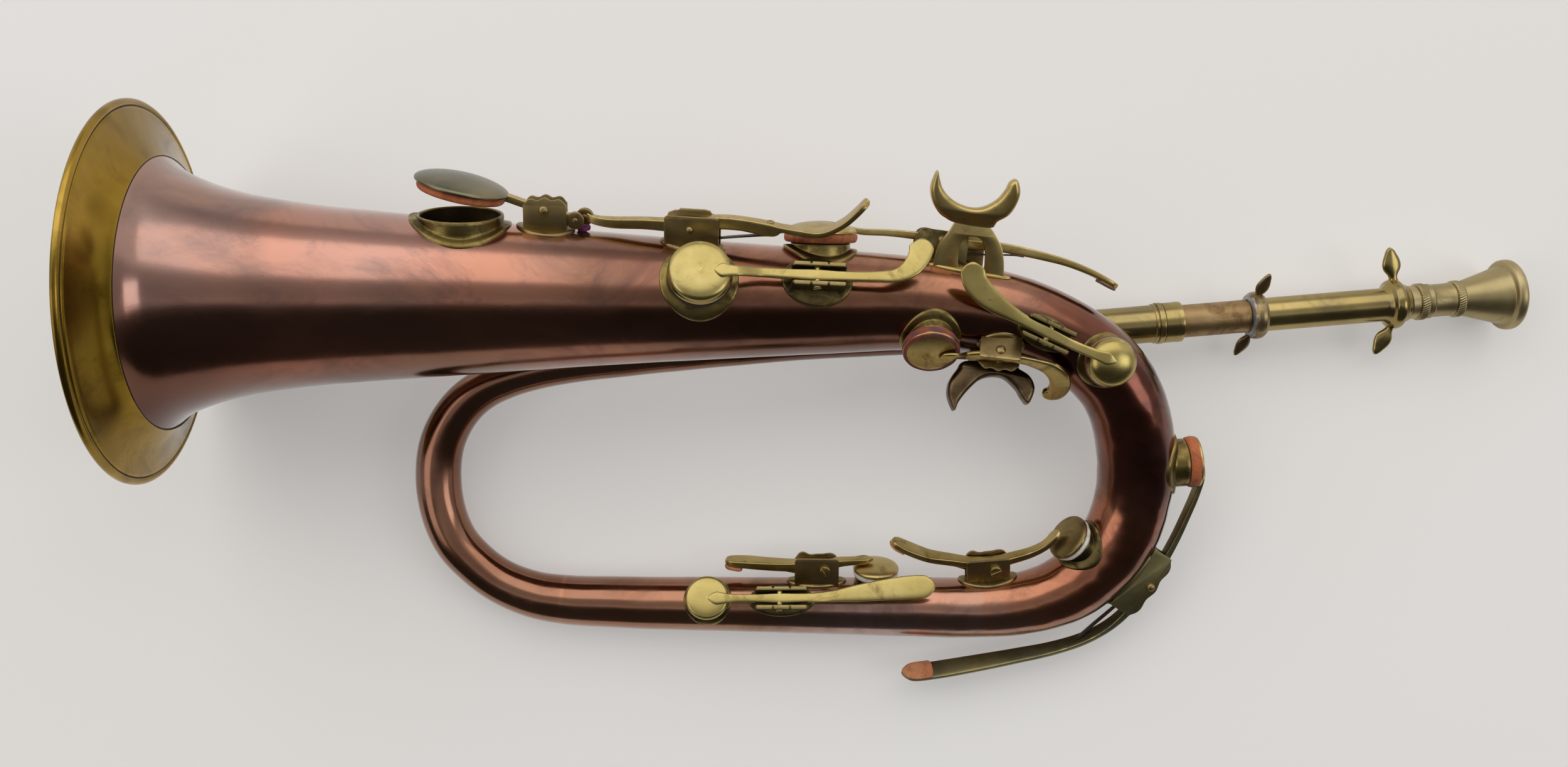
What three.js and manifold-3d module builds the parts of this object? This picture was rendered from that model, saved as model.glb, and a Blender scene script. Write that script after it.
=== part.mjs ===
// Keyed bugle (Kent bugle), lying on its bell rim, its return bend and its mouthpiece.
// Millimetres, +Z up. A copper tube folded once, a brass bell garland, nine keys on
// saddles, two crescent finger rests, a telescopic tuning slide and a mouthpiece.
import * as THREE from 'three';
import { mergeVertices } from 'three/addons/utils/BufferGeometryUtils.js';
import Module from 'manifold-3d';

const wasm = await Module();
wasm.setup();
const { Manifold } = wasm;

// ---- driving dimensions -------------------------------------------------
const SHIFT = [-29.87, 10.21, -0.04];   // puts the middle of the footprint on the origin
const GAP = 0.3;                 // clearance between pieces that meet
const BELL_RADIUS = 74.6;        // bell mouth
const WALL = 1.0;                // tube wall
const MAIN_SIDES = 24;           // facets round the wide tube
const BOW_SIDES = 18;
const LEAD_SIDES = 12;
const PIN_RADIUS = 1.2;          // key pivot screw
const PIN_HOLE = 1.55;
const HUB_RADIUS = 2.6;
const HUB_HALF = 2.65;           // half width of a lever hub
const CHEEK_IN = 3.05;           // inner and outer face of a saddle cheek
const CHEEK_OUT = 4.2;
const FLANGE = 1.1;              // thickness of foot plates and flanges
const BELL_KEY_OPEN = 12.5;      // degrees that the bell key stands open

// Centrelines: x, y, z and outer radius of the tube, from the bell to the receiver.
const MAIN = [
  [-241.05, 35.24, 73.57, 53.4], [-238.36, 35.22, 73.31, 50.7], [-234.38, 35.2, 72.93, 47.9], [-224.63, 35.14, 71.99, 43.7],
  [-214.97, 35.09, 71.06, 40.8], [-205.54, 35.03, 70.16, 38.69], [-186.41, 34.92, 68.32, 35.98], [-162.29, 34.79, 66.01, 33.79],
  [-128.16, 34.59, 62.73, 31.25], [-63.58, 34.22, 56.52, 26.32], [-12.84, 33.94, 51.65, 23.24], [23.26, 33.73, 48.18, 21.21],
];
const BOW = [
  [46.71, 33.47, 46.0, 19.72], [70.2, 31.85, 45.0, 18.33], [91.1, 28.5, 44.4, 17.57], [108.14, 22.8, 43.8, 16.94],
  [125.36, 13.45, 42.6, 16.45], [138.7, 0.66, 39.5, 16.55], [146.35, -14.95, 35.5, 16.54], [149.84, -32.45, 30.5, 16.16],
  [149.84, -48.64, 25.6, 15.77], [146.05, -63.39, 21.6, 15.61], [137.09, -78.24, 18.3, 15.29], [123.96, -89.27, 15.9, 14.54],
  [107.23, -95.54, 14.5, 13.61], [88.12, -98.04, 13.6, 13.22],
];
const LOW = [
  [52.36, -97.97, 13.2, 12.84], [13.79, -97.47, 12.9, 12.24], [-13.79, -97.09, 12.7, 11.92], [-41.38, -96.69, 12.6, 11.64],
  [-68.98, -96.16, 12.5, 11.26],
];
const LEFT = [
  [-96.59, -94.93, 12.4, 10.71], [-110.41, -92.61, 12.3, 10.16], [-124.21, -87.09, 12.3, 9.66], [-134.65, -79.6, 12.5, 9.46],
  [-143.93, -69.35, 12.9, 9.54], [-149.29, -56.88, 13.5, 9.64], [-151.33, -42.47, 14.6, 9.76], [-149.99, -28.38, 16.0, 9.68],
  [-145.21, -17.09, 17.5, 9.43], [-138.28, -8.32, 19.0, 9.14], [-129.18, -1.77, 20.6, 8.84], [-118.77, 2.44, 22.2, 8.54],
  [-107.69, 5.41, 23.4, 8.25],
];
const LEAD = [
  [-94.53, 7.86, 24.4, 8.1], [-67.45, 11.06, 25.0, 7.99], [-40.53, 13.75, 24.2, 7.97], [-13.54, 16.25, 22.8, 7.96],
  [13.58, 18.41, 21.4, 7.98], [51.22, 20.3, 19.6, 7.98], [95.56, 21.84, 18.4, 7.97], [120.27, 22.88, 17.75, 7.98],
];
const BELL0 = [-252.3, 35.3, 74.65];
const BELLX = [0.9954, -0.00567, -0.0956];
const MP0 = [136.24, 24.04, 17.56];
const MPX = [0.99651, 0.08254, -0.01226];
const KEYS = {
  k1: {C: [-128.14, 34.59, 62.72], T: [0.9954, -0.0057, -0.0956], n: [0.0363, 0.9459, 0.3223], R: 31.25, rim: 33.76, rc: 16.7, rp: 17.2, tp: 3.0, rq: 18.3, dome: 4.2, skirt: 0.9, s: 113.4},
  k2: {C: [-35.3, 34.06, 53.81], T: [0.9954, -0.0057, -0.0956], n: [0.0937, 0.2629, 0.9603], R: 24.54, rim: 27.54, rc: 10.6, rp: 11.8, tp: 2.6, rq: 12.6, dome: 2.6, skirt: 3.2, s: 206.7},
  k3: {C: [14.36, 33.79, 49.03], T: [0.9954, -0.0061, -0.0953], n: [0.0209, 0.9878, 0.1545], R: 21.73, rim: 24.01, rc: 12.2, rp: 14.7, tp: 3.2, rq: 14.9, dome: 4.2, skirt: 0.9, s: 256.6},
  k4: {C: [128.44, 11.09, 42.1], T: [0.771, -0.6211, -0.1406], n: [0.0902, -0.112, 0.9896], R: 16.44, rim: 19.64, rc: 8.4, rp: 9.6, tp: 2.4, rq: 10.2, dome: 4.6, skirt: 2.2, s: 375.4},
  k5: {C: [59.81, 32.78, 45.36], T: [0.9969, -0.0692, -0.0364], n: [-0.0296, -0.7655, 0.6428], R: 18.9, rim: 21.7, rc: 9.6, rp: 11.2, tp: 2.8, rq: 11.5, dome: 1.6, skirt: 1.3, s: 302.2},
  k6: {C: [150.05, -34.94, 29.76], T: [0.0714, -0.9548, -0.2884], n: [0.9974, 0.0684, 0.0206], R: 16.1, rim: 20.51, rc: 10.2, rp: 11.0, tp: 3.6, rq: 10.8, dome: 1.4, skirt: 0.9, s: 429.4},
  k7: {C: [138.19, -76.89, 18.59], T: [-0.6112, -0.7736, -0.1673], n: [-0.7495, 0.4977, 0.4364], R: 15.34, rim: 18.54, rc: 8.3, rp: 9.9, tp: 2.6, rq: 10.0, dome: 1.6, skirt: 1.1, s: 475.5},
  k8: {C: [39.7, -97.84, 13.09], T: [-0.9999, 0.013, -0.0078], n: [0.0095, 0.9396, 0.3421], R: 12.65, rim: 15.05, rc: 8.0, rp: 9.7, tp: 2.6, rq: 9.9, dome: 2.2, skirt: 0.9, s: 580.4},
  k9: {C: [-32.91, -96.83, 12.63], T: [-0.9999, 0.0146, -0.003], n: [0.0015, 0.3033, 0.9529], R: 11.73, rim: 14.13, rc: 7.4, rp: 8.8, tp: 2.2, rq: 9.3, dome: 0.8, skirt: 1.9, s: 653.0},
};
const SADDLES = {
  k1a: {C: [-95.7, 34.41, 59.61], P: [-94.38, 68.81, 71.33], n: [0.0363, 0.9459, 0.3223], u: [0.9954, -0.0057, -0.0956], w: [0.0886, -0.3243, 0.9418], R: 28.72, head: 1, hl: 8.4, ct: 5.0, a: 11.5, b: 9.5, sh: 0.4, s: 146.0},
  k3: {C: [62.25, 32.6, 45.27], P: [64.45, 59.17, 49.43], n: [0.0817, 0.9847, 0.1541], u: [0.9964, -0.0773, -0.0343], w: [0.0219, -0.1564, 0.9875], R: 18.76, head: 1, hl: 10.8, ct: 5.2, a: 12.8, b: 4.4, sh: 0, s: 304.7},
  k7: {C: [92.92, -97.69, 13.76], P: [91.06, -78.15, 20.86], n: [-0.0885, 0.8304, 0.55], u: [-0.996, -0.0812, -0.0376], w: [0.0135, -0.5512, 0.8343], R: 13.29, head: 1, hl: 9.3, ct: 5.4, a: 12.8, b: 7.6, sh: 3.0, s: 527.2},
  k8: {C: [17.5, -97.52, 12.93], P: [17.71, -79.43, 19.52], n: [0.0108, 0.9396, 0.3421], u: [-0.9999, 0.0141, -0.0073], w: [-0.0117, -0.342, 0.9396], R: 12.3, head: 1, hl: 9.5, ct: 5.4, a: 13, b: 5.3, sh: 3.5, s: 602.6},
  k2: {C: [10.3, 33.82, 49.42], P: [12.96, 42.17, 76.61], n: [0.0938, 0.2629, 0.9603], u: [0.9955, -0.0377, -0.0869], w: [0.0134, 0.9641, -0.2652], R: 21.95, head: -1, hl: 10.8, ct: 2.6, a: 14.2, b: 10.5, sh: 0.8, s: 252.5},
  k4: {C: [105.7, 23.82, 43.92], P: [105.1, 19.8, 67.3], n: [0.0113, -0.0804, 0.9967], u: [-0.9087, 0.4152, 0.0437], w: [-0.4173, -0.9062, -0.0684], R: 17.02, head: -1, hl: 10.4, ct: 2.6, a: 12, b: 6.8, sh: 0, s: 349.2},
  k5: {C: [90.57, 28.62, 44.42], P: [86.86, 10.86, 60.26], n: [-0.1696, -0.7931, 0.585], u: [0.9848, -0.1133, 0.132], w: [-0.0384, 0.5984, 0.8003], R: 17.59, head: 1, hl: 8.2, ct: 4.2, a: 9.6, b: 5.6, sh: 0, s: 333.3},
  k9: {C: [-1.82, -97.26, 12.78], P: [-1.87, -91.65, 29.51], n: [-0.003, 0.3034, 0.9529], u: [1.0, 0.0041, 0.0018], w: [-0.0033, 0.9529, -0.3034], R: 12.05, head: -1, hl: 11.4, ct: 2.4, a: 13.4, b: 5.0, sh: 0.8, s: 621.9},
  k1b: {C: [-38.34, 34.08, 54.1], P: [-36.69, 61.85, 69.64], n: [0.0363, 0.9116, 0.4094], u: [0.9955, -0.0688, 0.0649], w: [-0.0873, -0.4052, 0.9101], R: 24.72, head: 1, hl: 10.8, ct: 5.2, a: 13, b: 6.4, sh: 0.6, s: 203.6},
  k6: {C: [140.01, -74.43, 19.12], P: [158.04, -87.06, 19.5], n: [0.8268, -0.547, -0.131], u: [-0.5621, -0.8122, -0.1562], w: [0.0209, -0.2028, 0.979], R: 15.42, head: 1, hl: 15.4, ct: 3.0, a: 16.5, b: 5.4, sh: 0.5, s: 472.4},
};
const LEVERS = {
  k1a: { mode: 'side', path: [[-115.3, 76.5, 75.95, 1.2, 1.0], [-113.49, 75.13, 75.3, 6.0, 2.0], [-110.49, 73.53, 74.47, 5.0, 2.8], [-106.96, 72.41, 73.75, 4.6, 3.0], [-101.53, 70.6, 72.62, 4.8, 3.0], [-94.38, 68.81, 71.33, 5.2, 3.2], [-89.11, 67.45, 70.37, 4.8, 3.0], [-84.65, 65.72, 70.41, 3.4, 2.8], [-81.46, 64.5, 70.23, 2.4, 3.0]] },
  k1b: { mode: 'side', path: [[-78.62, 66.8, 67.82, 2.4, 3.0], [-75.14, 65.1, 67.73, 3.4, 3.3], [-68.44, 64.07, 67.58, 4.6, 3.9], [-54.63, 63.59, 68.7, 5.0, 4.3], [-44.65, 62.77, 69.29, 5.2, 4.8], [-36.69, 61.83, 69.63, 5.2, 5.2], [-27.18, 63.59, 71.33, 5.2, 5.2], [-17.28, 63.05, 72.04, 5.4, 5.0], [-3.71, 60.66, 72.54, 6.0, 4.8], [-0.9, 60.95, 72.76, 6.3, 2.5], [4.93, 59.98, 72.8, 7.0, 2.6], [14.76, 59.18, 73.39, 8.0, 2.4], [23.27, 62.58, 75.72, 9.0, 2.4], [28.76, 66.9, 78.17, 8.8, 2.5], [32.76, 70.97, 80.36, 7.0, 2.6]] },
  k3: { mode: 'side', path: [[15.92, 65.1, 51.44, 1.2, 1.0], [20.55, 64.61, 51.26, 6.0, 1.8], [25.7, 63.62, 50.99, 5.0, 2.4], [31.38, 62.37, 50.67, 4.4, 2.6], [42.46, 61.89, 50.35, 4.4, 2.8], [52.8, 60.91, 49.96, 4.6, 3.2], [64.45, 59.17, 49.43, 5.0, 3.6], [76.14, 57.17, 48.85, 5.2, 3.8], [86.52, 56.43, 48.51, 5.0, 3.9], [95.64, 54.93, 48.07, 5.6, 3.9], [106.1, 52.66, 47.47, 6.6, 3.5], [116.59, 49.88, 46.8, 7.6, 3.0], [127.17, 45.81, 45.92, 8.2, 2.6], [134.63, 41.98, 45.15, 8.0, 2.3], [138.12, 39.93, 44.75, 5.5, 2.0]] },
  k7: { mode: 'side', path: [[117.48, -62.61, 30.7, 1.0, 1.0], [115.89, -64.64, 29.39, 5.0, 2.2], [112.46, -69.01, 26.55, 4.4, 2.6], [106.7, -72.53, 24.32, 4.4, 3.0], [98.89, -75.18, 22.69, 4.8, 3.4], [90.96, -77.25, 21.45, 5.0, 3.8], [81.46, -77.53, 21.43, 5.0, 3.6], [71.81, -76.01, 22.58, 5.6, 3.3], [62.17, -74.2, 23.93, 6.6, 3.0], [53.84, -70.93, 26.23, 7.4, 2.8], [45.94, -67.09, 28.87, 6.5, 2.4]] },
  k8: { mode: 'side', path: [[38.59, -75.95, 21.04, 1.2, 1.0], [35.33, -76.24, 20.9, 5.0, 2.2], [30.46, -76.82, 20.62, 4.2, 2.6], [23.94, -77.41, 20.33, 4.6, 3.2], [17.7, -78.85, 19.72, 5.0, 4.2], [10.9, -78.87, 19.63, 5.0, 4.4], [3.27, -78.88, 19.53, 5.4, 4.2], [-6.81, -78.33, 19.61, 6.6, 3.8], [-16.34, -77.48, 19.8, 7.4, 3.4], [-25.59, -76.92, 19.91, 6.0, 2.6]] },
  k6: { mode: 'side', path: [[178.63, -34.9, 29.86, 1.6, 1.2, 0.0], [178.1, -38.97, 29.03, 6.0, 1.8, 0.0], [176.18, -46.6, 27.49, 5.4, 2.2, -5.0], [172.76, -56.19, 25.58, 4.8, 2.4, -10.0], [167.35, -69.46, 22.95, 5.0, 2.8, -6.0], [158.04, -87.06, 19.5, 5.2, 3.4, 0.0], [147.81, -100.32, 16.97, 5.0, 3.2, -12.0], [140.44, -106.56, 15.84, 5.2, 2.6, -24.0], [131.04, -111.67, 14.98, 5.6, 2.4, -30.0], [118.25, -115.91, 14.37, 6.2, 2.2, -32.0], [101.85, -119.45, 13.85, 7.0, 2.1, -33.0], [82.63, -123.11, 13.5, 8.0, 2.0, -33.0], [66.13, -125.91, 13.27, 8.4, 1.9, -33.0], [56.49, -127.02, 13.25, 8.0, 1.8, -33.0], [51.52, -127.0, 13.36, 4.5, 1.5, -33.0]] },
  k2: { mode: 'top', path: [[-26.49, 43.55, 88.51, 1.0, 1.0], [-23.87, 43.33, 88.32, 5.2, 1.4], [-21.03, 43.13, 87.88, 4.6, 1.6], [-17.24, 42.98, 86.83, 3.9, 1.8], [-9.7, 43.02, 80.88, 3.7, 2.0], [2.44, 42.53, 78.16, 4.2, 2.2], [12.95, 42.15, 76.82, 5.0, 2.6], [23.24, 41.7, 76.36, 4.2, 2.4], [36.69, 41.58, 76.33, 4.4, 2.1], [44.53, 42.2, 76.22, 5.6, 2.0], [49.76, 45.22, 75.3, 7.6, 1.9], [53.1, 50.02, 73.87, 9.0, 1.8], [54.2, 54.32, 72.8, 9.6, 1.7], [54.27, 57.1, 72.13, 6.0, 1.6]] },
  k4: { mode: 'top', path: [[130.98, 8.53, 71.19, 1.0, 1.0], [127.91, 9.51, 71.61, 5.0, 1.4], [124.77, 10.75, 71.34, 4.4, 1.6], [121.76, 12.0, 70.47, 4.0, 1.8], [116.63, 14.27, 69.13, 3.8, 2.0], [111.46, 16.79, 67.79, 4.2, 2.2], [105.05, 20.04, 67.52, 5.0, 2.6], [98.15, 23.23, 68.45, 4.6, 2.4], [91.19, 26.89, 69.83, 5.6, 2.1], [83.55, 31.52, 71.09, 8.2, 2.0], [77.73, 36.4, 71.95, 9.6, 1.9], [74.68, 41.04, 72.56, 9.8, 1.8], [74.1, 45.42, 73.12, 9.2, 1.7], [74.06, 47.85, 73.42, 6.0, 1.6]] },
  k5: { mode: 'top', path: [[62.09, 9.93, 62.51, 1.0, 1.0], [64.48, 10.16, 63.52, 5.0, 1.4], [67.6, 10.64, 64.56, 4.4, 1.6], [73.41, 11.26, 58.96, 3.8, 2.0], [79.65, 11.5, 59.56, 4.4, 2.2], [86.87, 10.81, 60.2, 5.0, 2.6], [93.61, 9.94, 62.0, 4.4, 2.2], [100.95, 8.16, 63.08, 5.0, 2.0], [106.79, 5.91, 62.74, 6.0, 1.8], [110.69, 2.65, 59.81, 6.4, 1.7], [112.11, -1.4, 54.38, 6.0, 1.6], [110.3, -3.99, 49.65, 5.0, 1.5], [106.16, -3.75, 48.45, 3.0, 1.4]] },
  k9: { mode: 'top', path: [[-32.53, -91.05, 31.5, 1.0, 1.0], [-29.32, -91.15, 31.65, 5.2, 1.3], [-25.32, -91.28, 31.7, 4.4, 1.5], [-21.34, -91.34, 31.31, 3.6, 1.7], [-12.02, -91.52, 30.28, 3.6, 2.0], [-1.87, -91.63, 29.61, 4.6, 2.6], [10.65, -90.91, 32.32, 4.0, 2.2], [21.15, -89.62, 36.08, 5.0, 2.0], [31.71, -88.26, 36.32, 7.2, 1.8], [42.28, -86.93, 36.35, 8.8, 1.7], [51.52, -86.0, 36.39, 9.8, 1.6], [59.45, -85.48, 36.35, 9.4, 1.5], [63.86, -85.22, 36.28, 6.6, 1.4]] },
};
const CRESCENTS = {
  upper: {O: [76.58, 29.16, 51.43], C: [76.64, 31.07, 44.8], T: [0.9911, -0.1302, -0.0281], n: [0.1329, 0.9524, 0.2743], w: [-0.009, -0.2756, 0.9612], R: 18.06, horns: [[-12.15, 35.55], [-16.97, 36.94], [-20.38, 39.02], [-23.32, 42.93], [-24.88, 47.76], [-24.51, 51.58], [-23.11, 55.27], [-21.79, 51.95], [-19.93, 48.43], [-16.33, 45.14], [-12.19, 43.17], [-6.96, 42.36], [-2.08, 43.53], [2.39, 46.92], [4.94, 51.04], [6.09, 54.46], [8.62, 55.81], [10.72, 51.32], [10.15, 46.2], [7.95, 41.59], [3.96, 38.25], [1.42, 35.35]], body: [[-12.77, 36.23], [-14.75, 31.36], [-17.74, 26.34], [-18.73, 20.0], [-18.63, 14.81], [10.45, 16.68], [9.29, 23.02], [7.62, 27.97], [5.19, 31.5], [1.29, 36.1]], arch: [[-9.53, 11.35], [-11.92, 25.32], [-10.53, 29.11], [-6.54, 31.2], [-2.27, 30.23], [0.4, 26.73], [2.84, 13.03]]},
  lower: {O: [85.0, 29.64, 43.58], C: [85.05, 29.78, 44.57], T: [0.9835, -0.179, -0.0262], n: [0.1734, 0.974, -0.1459], w: [0.0516, 0.139, 0.9889], R: 17.77, horns: [[-5.9, -22.07], [-9.44, -26.45], [-11.96, -32.23], [-11.57, -37.98], [-8.09, -43.42], [-6.82, -39.76], [-3.96, -34.47], [0.23, -29.19], [5.13, -26.7], [10.39, -26.53], [15.64, -29.81], [18.84, -33.47], [21.75, -35.32], [23.41, -28.65], [20.54, -23.59], [16.24, -21.45], [12.54, -19.73]], body: [[-5.22, -23.01], [-4.93, -19.76], [-5.35, -13.69], [9.81, -12.21], [11.12, -17.33], [12.44, -20.82]]},
};
// Stations along the mouthpipe axis.
const SL = { r0: -15.7, ferrule: 23.9, ring0: 28, ring1: 30.2, mouth: 38.5, inner0: 8.2, collar1: 66.6, collar2: 129.4, sleeveEnd: 135.6, shank: 135.9, b1: 139.9, b2: 143.5, b3: 155.9, b4: 159.3, cup1: 169, cup2: 177.4, rim0: 177.6 };
const PULL1 = [0.5, 0.74, 0.45], PULL1B = [-0.5, -0.76, -0.42];
const PULL2 = [-0.2, 0.96, 0.2], PULL2B = [-0.2, -0.96, -0.2];

// ---- vectors and solids ---------------------------------------------------
const V = (a) => new THREE.Vector3(a[0], a[1], a[2]);
const along = (p, d, s) => p.clone().addScaledVector(d, s);
const UP = new THREE.Vector3(0, 0, 1);

function solidFrom(verts, tris) {
  return new Manifold(new wasm.Mesh({ numProp: 3, vertProperties: new Float32Array(verts), triVerts: new Uint32Array(tris) }));
}

// A closed solid from rings of points, all with the same count and turning
// counter-clockwise seen from the last ring.
function loft(rings) {
  const n = rings[0].length, verts = [], tris = [];
  for (const ring of rings) for (const p of ring) verts.push(p.x, p.y, p.z);
  for (let i = 0; i < rings.length - 1; i++) for (let j = 0; j < n; j++) {
    const k = (j + 1) % n, a = i * n + j, b = i * n + k, c = a + n, d = b + n;
    tris.push(a, b, d, a, d, c);
  }
  const m = (rings.length - 1) * n;
  for (let j = 1; j < n - 1; j++) { tris.push(0, j + 1, j); tris.push(m, m + j, m + j + 1); }
  const s = solidFrom(verts, tris);
  if (s.volume() >= 0) return s;
  s.delete();
  for (let t = 0; t < tris.length; t += 3) { const q = tris[t]; tris[t] = tris[t + 1]; tris[t + 1] = q; }
  return solidFrom(verts, tris);
}

function circle(c, u, v, r, n, turn = 0) {
  const out = [];
  for (let j = 0; j < n; j++) {
    const a = turn + (2 * Math.PI * j) / n;
    out.push(c.clone().addScaledVector(u, r * Math.cos(a)).addScaledVector(v, r * Math.sin(a)));
  }
  return out;
}

function basis(dir) {
  const d = dir.clone().normalize();
  const ref = Math.abs(d.z) < 0.9 ? UP : new THREE.Vector3(1, 0, 0);
  const u = new THREE.Vector3().crossVectors(d, ref).normalize();
  return { d, u, v: new THREE.Vector3().crossVectors(d, u) };
}

// Turned solid: rows of [distance along the axis, radius].
function turned(p, dir, rows, n = 16) {
  const { d, u, v } = basis(dir);
  return loft(rows.map(([s, r]) => circle(along(p, d, s), u, v, r, n)));
}

// Tube round a centreline, grown by d all round.
function tubeSolid(path, d, n, extend = 0, ends = []) {
  const P = path.map(V), m = P.length, rings = [];
  for (let i = 0; i < m; i++) {
    let t = P[Math.min(i + 1, m - 1)].clone().sub(P[Math.max(i - 1, 0)]).normalize();
    if (i === 0 && ends[0]) t = ends[0];
    if (i === m - 1 && ends[1]) t = ends[1];
    const u = new THREE.Vector3().crossVectors(t, UP).normalize(), v = new THREE.Vector3().crossVectors(u, t);
    const r = path[i][3] + d, ring = (s) => circle(along(P[i], t, s), u, v, r, n, Math.PI / n);
    if (i === 0 && extend > 0) rings.push(ring(-extend));
    rings.push(ring(extend >= 0 ? 0 : i === 0 ? -extend : i === m - 1 ? extend : 0));
    if (i === m - 1 && extend > 0) rings.push(ring(extend));
  }
  return loft(rings);
}

// Strip along a path of [x, y, z, width, thickness]; 'side' keeps the width along
// the reference, 'top' keeps the thickness along it.
function strip(path, ref, mode) {
  const P = path.map(V), m = P.length, rings = [];
  for (let i = 0; i < m; i++) {
    const t = P[Math.min(i + 1, m - 1)].clone().sub(P[Math.max(i - 1, 0)]).normalize();
    let s, u;
    if (mode === 'side') { u = new THREE.Vector3().crossVectors(t, ref).normalize(); s = ref.clone(); }
    else { s = new THREE.Vector3().crossVectors(ref, t).normalize(); u = ref.clone(); }
    const f = ((path[i][5] || 0) * Math.PI) / 180;     // tilt about the path
    [s, u] = [s.clone().multiplyScalar(Math.cos(f)).addScaledVector(u, Math.sin(f)), u.clone().multiplyScalar(Math.cos(f)).addScaledVector(s, -Math.sin(f))];
    const a = path[i][3] / 2, b = path[i][4] / 2;
    rings.push([[1, 1], [-1, 1], [-1, -1], [1, -1]].map(([x, y]) => P[i].clone().addScaledVector(s, a * x).addScaledVector(u, b * y)));
  }
  return loft(rings);
}

function block(o, u, v, w, u0, u1, v0, v1, w0, w1) {
  const q = (a, b, c) => o.clone().addScaledVector(u, a).addScaledVector(v, b).addScaledVector(w, c);
  return loft([
    [q(u0, v0, w0), q(u1, v0, w0), q(u1, v1, w0), q(u0, v1, w0)],
    [q(u0, v0, w1), q(u1, v0, w1), q(u1, v1, w1), q(u0, v1, w1)],
  ]);
}

function plate(outline, o, t, n, w, z0, z1) {
  const shape = new THREE.Shape(outline.map((p) => new THREE.Vector2(p[0], p[1])));
  let g = new THREE.ExtrudeGeometry(shape, { depth: z1 - z0, bevelEnabled: false, curveSegments: 1 });
  g.deleteAttribute('normal'); g.deleteAttribute('uv');
  g = mergeVertices(g, 1e-4);
  const pos = g.attributes.position, verts = [];
  for (let i = 0; i < pos.count; i++) {
    const p = o.clone().addScaledVector(t, pos.getX(i)).addScaledVector(n, pos.getY(i)).addScaledVector(w, pos.getZ(i) + z0);
    verts.push(p.x, p.y, p.z);
  }
  const tris = Array.from(g.index.array);
  let s = solidFrom(verts, tris);
  if (s.volume() < 0) {
    for (let k = 0; k < tris.length; k += 3) { const q = tris[k]; tris[k] = tris[k + 1]; tris[k + 1] = q; }
    s = solidFrom(verts, tris);
  }
  return s;
}

const ellipseBlock = (o, dir, u, w, a, b, h0, h1, n = 14) => {
  const ring = (h) => Array.from({ length: n }, (_, j) => {
    const q = (2 * Math.PI * j) / n;
    return o.clone().addScaledVector(dir, h).addScaledVector(u, a * Math.cos(q)).addScaledVector(w, b * Math.sin(q));
  });
  return loft([ring(h0), ring(h1)]);
};

// ---- assembly ---------------------------------------------------------------
const group = new THREE.Group();
group.name = 'keyed_bugle';
const FINISH = {
  copper: [0x8a4b3a, 0.32, 0.95], garland: [0xa8843c, 0.35, 0.95], brass: [0xc2a35a, 0.3, 0.95],
  dark_brass: [0x6f6238, 0.5, 0.85], pale_brass: [0x9c8b4e, 0.45, 0.9], steel: [0x3c3a36, 0.5, 0.8],
  red_leather: [0xb5532c, 0.85, 0], white_leather: [0xe6dfd2, 0.9, 0], old_leather: [0x8d3b30, 0.9, 0],
};

function add(name, solid, finish) {
  const m = solid.getMesh();
  const g = new THREE.BufferGeometry();
  const src = m.vertProperties, np = m.numProp, pos = new Float32Array((src.length / np) * 3);
  for (let i = 0, k = 0; i < src.length; i += np) { pos[k++] = src[i]; pos[k++] = src[i + 1]; pos[k++] = src[i + 2]; }
  g.setAttribute('position', new THREE.BufferAttribute(pos, 3));
  g.setIndex(new THREE.BufferAttribute(new Uint32Array(m.triVerts), 1));
  g.computeVertexNormals();
  const [c, r, k] = FINISH[finish];
  const mesh = new THREE.Mesh(g, new THREE.MeshStandardMaterial({ color: c, roughness: r, metalness: k, flatShading: true }));
  mesh.name = name;
  mesh.position.set(...SHIFT);
  group.add(mesh);
}

// smooth centreline: centripetal Catmull-Rom through the stations
function smooth(rows, n) {
  const out = [], P = [rows[0].map((v, k) => 2 * v - rows[1][k]), ...rows, rows[rows.length - 1].map((v, k) => 2 * v - rows[rows.length - 2][k])];
  const dist = (a, b) => Math.sqrt(Math.hypot(a[0] - b[0], a[1] - b[1], a[2] - b[2]));
  for (let i = 1; i < P.length - 2; i++) {
    const [p0, p1, p2, p3] = P.slice(i - 1, i + 3);
    const t0 = 0, t1 = t0 + dist(p0, p1), t2 = t1 + dist(p1, p2), t3 = t2 + dist(p2, p3);
    const mix = (a, b, ta, tb, t) => a.map((v, k) => ((tb - t) * v + (t - ta) * b[k]) / (tb - ta));
    for (let j = 0; j < n; j++) {
      const t = t1 + ((t2 - t1) * j) / n;
      const A1 = mix(p0, p1, t0, t1, t), A2 = mix(p1, p2, t1, t2, t), A3 = mix(p2, p3, t2, t3, t);
      out.push(mix(mix(A1, A2, t0, t2, t), mix(A2, A3, t1, t3, t), t1, t2, t));
    }
  }
  out.push(rows[rows.length - 1].slice());
  return out;
}

const bow = smooth(BOW, 2), left = smooth(LEFT, 1);
const iCut = 8;                                   // station where the return bend starts
const mainPath = [...MAIN, ...BOW.slice(0, iCut / 2 + 1)];
const bowPath = bow.slice(iCut);
const lowPath = [BOW[BOW.length - 1], ...LOW, LEFT[0]];
const leftPath = [...left, ...LEAD];
const heading = (a, b) => V(b).sub(V(a)).normalize();
const T_BELL = V(BELLX), T_BOW = heading(bow[iCut - 1], bow[iCut + 1]);
const T_LOW = heading(bow[bow.length - 2], LOW[0]), T_LEFT = heading(LOW[LOW.length - 1], LEFT[1]);
const T_REC = V(MPX);
const SECTIONS = {
  main: [mainPath, MAIN_SIDES, T_BELL, T_BOW], bow: [bowPath, BOW_SIDES, T_BOW, T_LOW],
  low: [lowPath, BOW_SIDES, T_LOW, T_LEFT], left: [leftPath, LEAD_SIDES, T_LEFT, T_REC],
};
const offset = (sec, d) => tubeSolid(SECTIONS[sec][0], d, SECTIONS[sec][1], 6, SECTIONS[sec].slice(2));
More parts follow.
